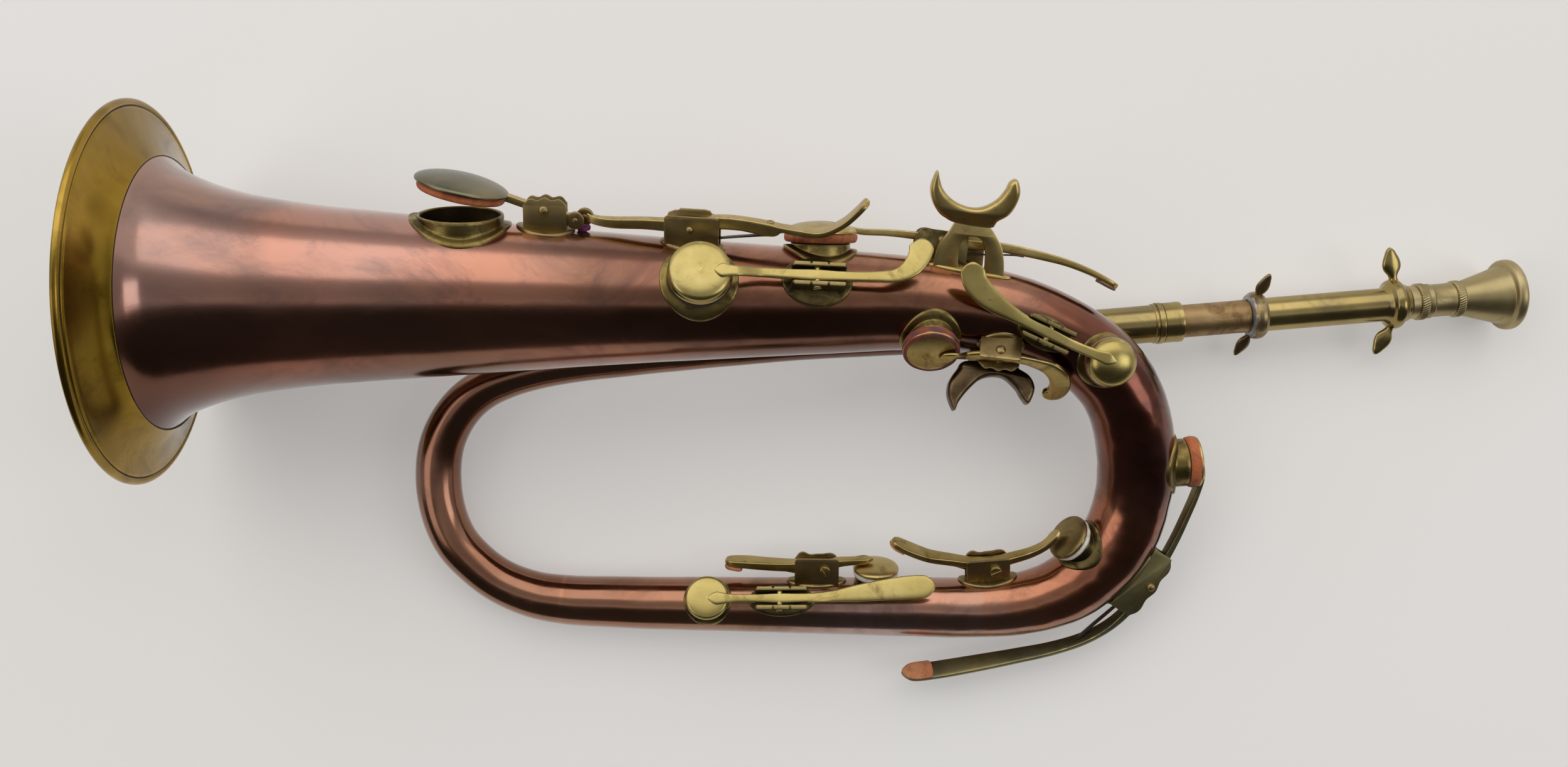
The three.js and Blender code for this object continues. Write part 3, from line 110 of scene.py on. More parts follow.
LEVERS = {
    'k1a': ('side', [[-115.3, 76.5, 75.95, 1.2, 1.0], [-113.49, 75.13, 75.3, 6.0, 2.0], [-110.49, 73.53, 74.47, 5.0, 2.8], [-106.96, 72.41, 73.75, 4.6, 3.0], [-101.53, 70.6, 72.62, 4.8, 3.0], [-94.38, 68.81, 71.33, 5.2, 3.2], [-89.11, 67.45, 70.37, 4.8, 3.0], [-84.65, 65.72, 70.41, 3.4, 2.8], [-81.46, 64.5, 70.23, 2.4, 3.0]]),
    'k1b': ('side', [[-78.62, 66.8, 67.82, 2.4, 3.0], [-75.14, 65.1, 67.73, 3.4, 3.3], [-68.44, 64.07, 67.58, 4.6, 3.9], [-54.63, 63.59, 68.7, 5.0, 4.3], [-44.65, 62.77, 69.29, 5.2, 4.8], [-36.69, 61.83, 69.63, 5.2, 5.2], [-27.18, 63.59, 71.33, 5.2, 5.2], [-17.28, 63.05, 72.04, 5.4, 5.0], [-3.71, 60.66, 72.54, 6.0, 4.8], [-0.9, 60.95, 72.76, 6.3, 2.5], [4.93, 59.98, 72.8, 7.0, 2.6], [14.76, 59.18, 73.39, 8.0, 2.4], [23.27, 62.58, 75.72, 9.0, 2.4], [28.76, 66.9, 78.17, 8.8, 2.5], [32.76, 70.97, 80.36, 7.0, 2.6]]),
    'k3': ('side', [[15.92, 65.1, 51.44, 1.2, 1.0], [20.55, 64.61, 51.26, 6.0, 1.8], [25.7, 63.62, 50.99, 5.0, 2.4], [31.38, 62.37, 50.67, 4.4, 2.6], [42.46, 61.89, 50.35, 4.4, 2.8], [52.8, 60.91, 49.96, 4.6, 3.2], [64.45, 59.17, 49.43, 5.0, 3.6], [76.14, 57.17, 48.85, 5.2, 3.8], [86.52, 56.43, 48.51, 5.0, 3.9], [95.64, 54.93, 48.07, 5.6, 3.9], [106.1, 52.66, 47.47, 6.6, 3.5], [116.59, 49.88, 46.8, 7.6, 3.0], [127.17, 45.81, 45.92, 8.2, 2.6], [134.63, 41.98, 45.15, 8.0, 2.3], [138.12, 39.93, 44.75, 5.5, 2.0]]),
    'k7': ('side', [[117.48, -62.61, 30.7, 1.0, 1.0], [115.89, -64.64, 29.39, 5.0, 2.2], [112.46, -69.01, 26.55, 4.4, 2.6], [106.7, -72.53, 24.32, 4.4, 3.0], [98.89, -75.18, 22.69, 4.8, 3.4], [90.96, -77.25, 21.45, 5.0, 3.8], [81.46, -77.53, 21.43, 5.0, 3.6], [71.81, -76.01, 22.58, 5.6, 3.3], [62.17, -74.2, 23.93, 6.6, 3.0], [53.84, -70.93, 26.23, 7.4, 2.8], [45.94, -67.09, 28.87, 6.5, 2.4]]),
    'k8': ('side', [[38.59, -75.95, 21.04, 1.2, 1.0], [35.33, -76.24, 20.9, 5.0, 2.2], [30.46, -76.82, 20.62, 4.2, 2.6], [23.94, -77.41, 20.33, 4.6, 3.2], [17.7, -78.85, 19.72, 5.0, 4.2], [10.9, -78.87, 19.63, 5.0, 4.4], [3.27, -78.88, 19.53, 5.4, 4.2], [-6.81, -78.33, 19.61, 6.6, 3.8], [-16.34, -77.48, 19.8, 7.4, 3.4], [-25.59, -76.92, 19.91, 6.0, 2.6]]),
    'k6': ('side', [[178.63, -34.9, 29.86, 1.6, 1.2, 0.0], [178.1, -38.97, 29.03, 6.0, 1.8, 0.0], [176.18, -46.6, 27.49, 5.4, 2.2, -5.0], [172.76, -56.19, 25.58, 4.8, 2.4, -10.0], [167.35, -69.46, 22.95, 5.0, 2.8, -6.0], [158.04, -87.06, 19.5, 5.2, 3.4, 0.0], [147.81, -100.32, 16.97, 5.0, 3.2, -12.0], [140.44, -106.56, 15.84, 5.2, 2.6, -24.0], [131.04, -111.67, 14.98, 5.6, 2.4, -30.0], [118.25, -115.91, 14.37, 6.2, 2.2, -32.0], [101.85, -119.45, 13.85, 7.0, 2.1, -33.0], [82.63, -123.11, 13.5, 8.0, 2.0, -33.0], [66.13, -125.91, 13.27, 8.4, 1.9, -33.0], [56.49, -127.02, 13.25, 8.0, 1.8, -33.0], [51.52, -127.0, 13.36, 4.5, 1.5, -33.0]]),
    'k2': ('top', [[-26.49, 43.55, 88.51, 1.0, 1.0], [-23.87, 43.33, 88.32, 5.2, 1.4], [-21.03, 43.13, 87.88, 4.6, 1.6], [-17.24, 42.98, 86.83, 3.9, 1.8], [-9.7, 43.02, 80.88, 3.7, 2.0], [2.44, 42.53, 78.16, 4.2, 2.2], [12.95, 42.15, 76.82, 5.0, 2.6], [23.24, 41.7, 76.36, 4.2, 2.4], [36.69, 41.58, 76.33, 4.4, 2.1], [44.53, 42.2, 76.22, 5.6, 2.0], [49.76, 45.22, 75.3, 7.6, 1.9], [53.1, 50.02, 73.87, 9.0, 1.8], [54.2, 54.32, 72.8, 9.6, 1.7], [54.27, 57.1, 72.13, 6.0, 1.6]]),
    'k4': ('top', [[130.98, 8.53, 71.19, 1.0, 1.0], [127.91, 9.51, 71.61, 5.0, 1.4], [124.77, 10.75, 71.34, 4.4, 1.6], [121.76, 12.0, 70.47, 4.0, 1.8], [116.63, 14.27, 69.13, 3.8, 2.0], [111.46, 16.79, 67.79, 4.2, 2.2], [105.05, 20.04, 67.52, 5.0, 2.6], [98.15, 23.23, 68.45, 4.6, 2.4], [91.19, 26.89, 69.83, 5.6, 2.1], [83.55, 31.52, 71.09, 8.2, 2.0], [77.73, 36.4, 71.95, 9.6, 1.9], [74.68, 41.04, 72.56, 9.8, 1.8], [74.1, 45.42, 73.12, 9.2, 1.7], [74.06, 47.85, 73.42, 6.0, 1.6]]),
    'k5': ('top', [[62.09, 9.93, 62.51, 1.0, 1.0], [64.48, 10.16, 63.52, 5.0, 1.4], [67.6, 10.64, 64.56, 4.4, 1.6], [73.41, 11.26, 58.96, 3.8, 2.0], [79.65, 11.5, 59.56, 4.4, 2.2], [86.87, 10.81, 60.2, 5.0, 2.6], [93.61, 9.94, 62.0, 4.4, 2.2], [100.95, 8.16, 63.08, 5.0, 2.0], [106.79, 5.91, 62.74, 6.0, 1.8], [110.69, 2.65, 59.81, 6.4, 1.7], [112.11, -1.4, 54.38, 6.0, 1.6], [110.3, -3.99, 49.65, 5.0, 1.5], [106.16, -3.75, 48.45, 3.0, 1.4]]),
    'k9': ('top', [[-32.53, -91.05, 31.5, 1.0, 1.0], [-29.32, -91.15, 31.65, 5.2, 1.3], [-25.32, -91.28, 31.7, 4.4, 1.5], [-21.34, -91.34, 31.31, 3.6, 1.7], [-12.02, -91.52, 30.28, 3.6, 2.0], [-1.87, -91.63, 29.61, 4.6, 2.6], [10.65, -90.91, 32.32, 4.0, 2.2], [21.15, -89.62, 36.08, 5.0, 2.0], [31.71, -88.26, 36.32, 7.2, 1.8], [42.28, -86.93, 36.35, 8.8, 1.7], [51.52, -86.0, 36.39, 9.8, 1.6], [59.45, -85.48, 36.35, 9.4, 1.5], [63.86, -85.22, 36.28, 6.6, 1.4]]),
}

CRESCENTS = {
    'upper': dict(O=[76.58, 29.16, 51.43], C=[76.64, 31.07, 44.8], T=[0.9911, -0.1302, -0.0281], n=[0.1329, 0.9524, 0.2743], w=[-0.009, -0.2756, 0.9612], R=18.06, horns=[[-12.15, 35.55], [-16.97, 36.94], [-20.38, 39.02], [-23.32, 42.93], [-24.88, 47.76], [-24.51, 51.58], [-23.11, 55.27], [-21.79, 51.95], [-19.93, 48.43], [-16.33, 45.14], [-12.19, 43.17], [-6.96, 42.36], [-2.08, 43.53], [2.39, 46.92], [4.94, 51.04], [6.09, 54.46], [8.62, 55.81], [10.72, 51.32], [10.15, 46.2], [7.95, 41.59], [3.96, 38.25], [1.42, 35.35]], body=[[-12.77, 36.23], [-14.75, 31.36], [-17.74, 26.34], [-18.73, 20.0], [-18.63, 14.81], [10.45, 16.68], [9.29, 23.02], [7.62, 27.97], [5.19, 31.5], [1.29, 36.1]], arch=[[-9.53, 11.35], [-11.92, 25.32], [-10.53, 29.11], [-6.54, 31.2], [-2.27, 30.23], [0.4, 26.73], [2.84, 13.03]]),
    'lower': dict(O=[85.0, 29.64, 43.58], C=[85.05, 29.78, 44.57], T=[0.9835, -0.179, -0.0262], n=[0.1734, 0.974, -0.1459], w=[0.0516, 0.139, 0.9889], R=17.77, horns=[[-5.9, -22.07], [-9.44, -26.45], [-11.96, -32.23], [-11.57, -37.98], [-8.09, -43.42], [-6.82, -39.76], [-3.96, -34.47], [0.23, -29.19], [5.13, -26.7], [10.39, -26.53], [15.64, -29.81], [18.84, -33.47], [21.75, -35.32], [23.41, -28.65], [20.54, -23.59], [16.24, -21.45], [12.54, -19.73]], body=[[-5.22, -23.01], [-4.93, -19.76], [-5.35, -13.69], [9.81, -12.21], [11.12, -17.33], [12.44, -20.82]], arch=None),
}

SL = dict(r0=-15.7, ferrule=23.9, ring0=28, ring1=30.2, mouth=38.5, inner0=8.2, collar1=66.6, collar2=129.4, sleeveEnd=135.6, shank=135.9, b1=139.9, b2=143.5, b3=155.9, b4=159.3, cup1=169, cup2=177.4, rim0=177.6)
PULL1, PULL1B, PULL2, PULL2B = [0.5, 0.74, 0.45], [-0.5, -0.76, -0.42], [-0.2, 0.96, 0.2], [-0.2, -0.96, -0.2]

# ---------------------------------------------------------------- helpers
def unit(v):
    v = A(v)
    return v / np.linalg.norm(v)


def catmull(rows, step, dims=3):
    """Centripetal Catmull-Rom through the rows, about one point every step mm."""
    P = A(rows)
    P = np.vstack([2 * P[0] - P[1], P, 2 * P[-1] - P[-2]])
    out = []
    d = lambda a, b: math.sqrt(max(np.linalg.norm(a[:dims] - b[:dims]), 1e-6))
    for i in range(1, len(P) - 2):
        p0, p1, p2, p3 = P[i - 1:i + 3]
        t1 = d(p0, p1); t2 = t1 + d(p1, p2); t3 = t2 + d(p2, p3)
        n = max(1, int(math.ceil(np.linalg.norm(p2[:dims] - p1[:dims]) / step)))
        for j in range(n):
            t = t1 + (t2 - t1) * j / n
            m = lambda a, b, ta, tb: ((tb - t) * a + (t - ta) * b) / (tb - ta)
            A1, A2, A3 = m(p0, p1, 0, t1), m(p1, p2, t1, t2), m(p2, p3, t2, t3)
            out.append(m(m(A1, A2, 0, t2), m(A2, A3, t1, t3), t1, t2))
    out.append(P[-2])
    return np.array(out)


def make(name, verts, faces, mat, body, replaces=(), slot=None, sharp=38, padded=None):
    """One piece from world millimetres: outward normals, smooth except at sharp edges."""
    me = bpy.data.meshes.new(name)
    me.from_pydata(S(verts).tolist(), [], [tuple(int(i) for i in f) for f in faces])
    bm = bmesh.new()
    bm.from_mesh(me)
    bmesh.ops.remove_doubles(bm, verts=bm.verts, dist=1e-7)
    bmesh.ops.recalc_face_normals(bm, faces=bm.faces)
    bm.to_mesh(me)
    bm.free()
    return place(name, me, mat, body, replaces, sharp)


def place(name, me, mat, body, replaces=(), sharp=38):
    me.polygons.foreach_set("use_smooth", [True] * len(me.polygons))
    me.set_sharp_from_angle(angle=math.radians(sharp))
    me.materials.clear()
    me.materials.append(mat)
    o = bpy.data.objects.new(name, me)
    bpy.context.scene.collection.objects.link(o)
    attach(o, body)
    if replaces:
        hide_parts(*replaces)
    return o


class Mesh:
    """Collects closed shells into one piece."""

    def __init__(self):
        self.v, self.f = [], []

    def add(self, v, f):
        b = sum(len(x) for x in self.v)
        self.v.append(A(v))
        self.f += [tuple(i + b for i in q) for q in f]
        return self

    def make(self, name, *args, **kw):
        return make(name, np.vstack(self.v), self.f, *args, **kw)


def basis(d):
    d = unit(d)
    ref = A([0, 0, 1]) if abs(d[2]) < 0.9 else A([1, 0, 0])
    u = unit(np.cross(d, ref))
    return d, u, np.cross(d, u)


def fillet(rows, rad, seg=3, closed=False):
    """Rounds the corners of a profile of [distance, radius] rows."""
    P = A(rows)
    n = len(P)
    out = []
    for i in range(n):
        if not closed and i in (0, n - 1):
            out.append(P[i])
            continue
        a, b, c = P[i - 1], P[i], P[(i + 1) % n]
        u, v = a - b, c - b
        lu, lv = np.linalg.norm(u), np.linalg.norm(v)
        if lu < 1e-9 or lv < 1e-9:
            out.append(b)
            continue
        u, v = u / lu, v / lv
        ang = math.acos(max(-1, min(1, float(u @ v))))
        if ang > math.radians(172):
            out.append(b)
            continue
        r = min(rad, 0.45 * lu, 0.45 * lv)
        for k in range(seg + 1):
            t = k / seg
            out.append((1 - t) ** 2 * (b + u * r) + 2 * t * (1 - t) * b + t * t * (b + v * r))
    return np.array(out)


def rings_mesh(rings, closed=False, cap0=True, cap1=True):
    """Faces for rings with the same number of points. closed joins the last ring to the first."""
    m, n = len(rings), len(rings[0])
    v = np.vstack(rings)
    f = []
    for i in range(m if closed else m - 1):
        k = (i + 1) % m
        for j in range(n):
            j2 = (j + 1) % n
            f.append((i * n + j, i * n + j2, k * n + j2, k * n + j))
    if not closed:
        if cap0:
            v = np.vstack([v, rings[0].mean(0)])
            c = len(v) - 1
            f += [(j, c, (j + 1) % n) for j in range(n)]
        if cap1:
            v = np.vstack([v, rings[-1].mean(0)])
            c = len(v) - 1
            b = (m - 1) * n
            f += [(b + (j + 1) % n, c, b + j) for j in range(n)]
    return v, f


def revolve(p, d, rows, n=72, closed=False, flat=1.0, ripple=None):
    d, u, v = basis(d)
    p = A(p)
    t = np.linspace(0, 2 * math.pi, n, endpoint=False)
    rings = []
    for s, r in A(rows):
        rr = np.full(n, max(r, 0.02))
        if ripple is not None:
            rr = rr + ripple(s, t)
        rings.append(p + d * s + np.outer(rr * np.cos(t), u) + np.outer(rr * np.sin(t) * flat, v))
    return rings_mesh(rings, closed=closed)


def sweep(rows, ref, mode, n=28, power=3.2, tip0=0.6, tip1=2.4, step=0.9, crown=0.0):
    """Lever: rows of x, y, z, width, thickness and tilt in degrees; rounded section, both tips drawn in."""
    P = catmull([list(r) + [0.0] * (6 - len(r)) for r in rows], step)
    ref = unit(ref)
    L = np.r_[0, np.cumsum(np.linalg.norm(np.diff(P[:, :3], axis=0), axis=1))]
    total = L[-1]
    q = sorted(set(np.round(np.r_[L, tip0 * (1 - np.cos(np.linspace(0, math.pi / 2, 6))), total - tip1 * (1 - np.cos(np.linspace(0, math.pi / 2, 9)))], 4)))
    q = [x for x in q if 0 <= x <= total]
    keep = [q[0]]
    for x in q[1:]:
        if x - keep[-1] > 0.04:
            keep.append(x)
    q = np.array(keep)
    R = np.array([np.interp(q, L, P[:, k]) for k in range(6)]).T
    T = np.gradient(R[:, :3], q, axis=0)
    T /= np.linalg.norm(T, axis=1)[:, None]
    a = np.linspace(0, 2 * math.pi, n, endpoint=False)
    c, s = np.cos(a), np.sin(a)
    x = np.sign(c) * np.abs(c) ** (2 / power)
    y = np.sign(s) * np.abs(s) ** (2 / power)
    rings = []
    for i in range(len(q)):
        if mode == "side":
            uu = unit(np.cross(T[i], ref)); ss = ref
        else:
            ss = unit(np.cross(ref, T[i])); uu = np.cross(T[i], ss)
        f = math.radians(R[i, 5])
        ss, uu = ss * math.cos(f) + uu * math.sin(f), uu * math.cos(f) - ss * math.sin(f)
        k = 1.0
        if q[i] < tip0:
            k = min(k, math.sqrt(max(0.0, 1 - (1 - q[i] / tip0) ** 2)))
        if total - q[i] < tip1:
            k = min(k, math.sqrt(max(0.0, 1 - (1 - (total - q[i]) / tip1) ** 2)))
        wk, tk = max(k, 0.06), max(min(1.0, k * 1.6), 0.25)
        hw, ht = R[i, 3] / 2 * wk, R[i, 4] / 2 * tk
        rings.append(R[i, :3] + np.outer(x * hw, ss) + np.outer(y * ht + crown * (1 - x * x) * (y > 0), uu))
    return rings_mesh(rings)


def offset2(P, d):
    """Moves a counter-clockwise outline inwards by d."""
    P = A(P)
    a = np.roll(P, 1, 0)
    b = np.roll(P, -1, 0)
    e1, e2 = P - a, b - P
    n1 = np.c_[-e1[:, 1], e1[:, 0]] / np.maximum(np.linalg.norm(e1, axis=1), 1e-9)[:, None]
    n2 = np.c_[-e2[:, 1], e2[:, 0]] / np.maximum(np.linalg.norm(e2, axis=1), 1e-9)[:, None]
    m = n1 + n2
    m /= np.maximum((m * m).sum(1), 0.5)[:, None] / 2
    return P + m * d


def ccw(P):
    P = A(P)
    x, y = P[:, 0], P[:, 1]
    return P if (x * np.roll(y, -1) - y * np.roll(x, -1)).sum() > 0 else P[::-1]


def closed_curve(P, step):
    """Smooth closed outline through the points."""
    P = A(P)
    n = len(P)
    out = []
    for i in range(n):
        p0, p1, p2, p3 = P[i - 1], P[i], P[(i + 1) % n], P[(i + 2) % n]
        m = max(1, int(np.linalg.norm(p2 - p1) / step))
        for j in range(m):
            t = j / m
            out.append(0.5 * (2 * p1 + (p2 - p0) * t + (2 * p0 - 5 * p1 + 4 * p2 - p3) * t * t + (3 * p1 - p0 - 3 * p2 + p3) * t ** 3))
    return np.array(out)


def room(P):
    """For each corner of a counter-clockwise outline, how far it is across to the other side."""
    n = len(P)
    m = offset2(P, 1.0) - P
    m /= np.maximum(np.linalg.norm(m, axis=1), 1e-9)[:, None]
    a, e = P, np.roll(P, -1, 0) - P
    out = np.full(n, 1e3)
    for i in range(n):
        cr = m[i, 0] * e[:, 1] - m[i, 1] * e[:, 0]
        cr = np.where(abs(cr) < 1e-9, 1e-9, cr)
        d = a - P[i]
        t = (d[:, 0] * e[:, 1] - d[:, 1] * e[:, 0]) / cr
        k = (d[:, 0] * m[i, 1] - d[:, 1] * m[i, 0]) / cr
        ok = (t > 1e-4) & (k > -0.02) & (k < 1.02)
        ok[[i, i - 1]] = False
        if ok.any():
            out[i] = t[ok].min()
    return out


def plate(outline, o, u, v, w, z0, z1, bevel=0.25, seg=2, share=None):
    """Plate from a 2-D outline, with rounded edges."""
    P = ccw(outline)
    limit = np.minimum(1.0, 0.36 * room(P) / bevel)
    if share is not None:
        limit = np.minimum(limit, share(P[:, 0], P[:, 1]))
    for _ in range(2):
        limit = np.minimum(limit, (np.roll(limit, 1) + np.roll(limit, -1) + limit) / 3 + 0.05)
    rings = []
    steps = [(bevel * (1 - math.sin(math.pi / 2 * k / seg)), bevel * (1 - math.cos(math.pi / 2 * k / seg))) for k in range(seg + 1)]
    inner = offset2(P, 1.0) - P
    for ins, dz in steps:
        rings.append((P + inner * (ins * limit)[:, None], z0 + dz))
    for ins, dz in steps[::-1]:
        rings.append((P + inner * (ins * limit)[:, None], z1 - dz))
    # the bevel is turned so that the first ring is the most inset
    V = [A(o) + np.outer(Q[:, 0], u) + np.outer(Q[:, 1], v) + A(w) * z for Q, z in rings]
    n, m = len(P), len(V)
    f = []
    for i in range(m - 1):
        for j in range(n):
            k = (j + 1) % n
            f.append((i * n + j, i * n + k, (i + 1) * n + k, (i + 1) * n + j))
    tris = tessellate_polygon([[Vector((x, y, 0)) for x, y in rings[0][0]]])
    for tri in tris:
        a, b, c = tri
        q = rings[0][0]
        if (q[b][0] - q[a][0]) * (q[c][1] - q[a][1]) - (q[b][1] - q[a][1]) * (q[c][0] - q[a][0]) < 0:
            a, b, c = a, c, b
        f.append((a, c, b))
        f.append(((m - 1) * n + a, (m - 1) * n + b, (m - 1) * n + c))
    return np.vstack(V), f


# ---------------------------------------------------------------- centreline of the copper tube
ALL = MAIN + BOW + LOW + LEFT + LEAD
LINE = catmull(ALL, 1.4)
LL = np.r_[0, np.cumsum(np.linalg.norm(np.diff(LINE[:, :3], axis=0), axis=1))]
LT = np.gradient(LINE[:, :3], LL, axis=0)
LT /= np.linalg.norm(LT, axis=1)[:, None]
LR = np.gradient(LINE[:, 3], LL)


def where(p):
    return int(np.argmin(np.linalg.norm(LINE[:, :3] - A(p)[:3], axis=1)))


def tube_gap(Q, i0, reach=40):
    """Distance of points from the tube's surface near station i0, and the axis distance."""
    lo, hi = max(0, i0 - reach), min(len(LINE), i0 + reach + 1)
    P, T, R, dR = LINE[lo:hi, :3], LT[lo:hi], LINE[lo:hi, 3], LR[lo:hi]
    D = Q[:, None, :] - P[None]
    al = (D * T[None]).sum(2)
    k = np.argmin((D ** 2).sum(2), axis=1)
    ix = np.arange(len(Q))
    d = np.sqrt(np.maximum((D[ix, k] ** 2).sum(1) - al[ix, k] ** 2, 1e-9))
    return d - (R[k] + dR[k] * al[ix, k]), d


def rise(C, n, u, w, a, b, off):
    """Height along n above C at which the line at (a, b) is off mm above the tube."""
    C, n, u, w = A(C), A(n), A(u), A(w)
    a, b = np.broadcast_arrays(A(a), A(b))
    i0 = where(C)
    R = LINE[i0, 3]
    h = np.sqrt(np.maximum((R + off) ** 2 - b ** 2, (0.2 * R) ** 2))
    for _ in range(14):
        Q = C + np.outer(a, u) + np.outer(b, w) + np.outer(h, n)
        g, d = tube_gap(Q, i0)
        h = h - np.clip((g - off) * np.minimum(d / np.maximum(h, 0.15 * R), 3), -2, 2)
        h = np.clip(h, 0.1 * R, R * 1.4 + 4)
    return h


# ---------------------------------------------------------------- materials
def clear(name):
    m = bpy.data.materials.new(name)
    m.use_nodes = True
    t = m.node_tree
    t.nodes.clear()
    out = t.nodes.new("ShaderNodeOutputMaterial")
    b = t.nodes.new("ShaderNodeBsdfPrincipled")
    t.links.new(b.outputs[0], out.inputs[0])
    return m, t, b


def noise_node(t, scale, detail=4, rough=0.55, vec=None, dist=0.0):
    n = t.nodes.new("ShaderNodeTexNoise")
    n.inputs["Scale"].default_value = scale
    n.inputs["Detail"].default_value = detail
    n.inputs["Roughness"].default_value = rough
    n.inputs["Distortion"].default_value = dist
    if vec is not None:
        t.links.new(vec, n.inputs["Vector"])
    return n.outputs["Fac"]


def ramp(t, fac, stops):
    r = t.nodes.new("ShaderNodeValToRGB")
    e = r.color_ramp.elements
    while len(e) > 1:
        e.remove(e[0])
    e[0].position, c = stops[0]
    e[0].color = (*c, 1) if len(c) == 3 else c
    for p, c in stops[1:]:
        x = e.new(p)
        x.color = (*c, 1) if len(c) == 3 else c
    t.links.new(fac, r.inputs[0])
    return r.outputs[0]


def mix(t, fac, a, b, kind="MIX"):
    m = t.nodes.new("ShaderNodeMix")
    m.data_type = "RGBA"
    m.blend_type = kind
    for s, v in ((0, fac), (6, a), (7, b)):
        if isinstance(v, (int, float)):
            m.inputs[s].default_value = v
        elif isinstance(v, tuple):
            m.inputs[s].default_value = (*v, 1)
        else:
            t.links.new(v, m.inputs[s])
    return m.outputs[2]


def math_node(t, op, a, b=None, c=None):
    m = t.nodes.new("ShaderNodeMath")
    m.operation = op
    for i, v in enumerate((a, b, c)):
        if v is None:
            continue
        if isinstance(v, (int, float)):
            m.inputs[i].default_value = v
        else:
            t.links.new(v, m.inputs[i])
    return m.outputs[0]


def g(v):
    return (v, v, v)


def stretched(t, vec, scale, rot=(0, 0, 0)):
    m = t.nodes.new("ShaderNodeMapping")
    m.inputs["Scale"].default_value = scale
    m.inputs["Rotation"].default_value = rot
    t.links.new(vec, m.inputs["Vector"])
    return m.outputs[0]


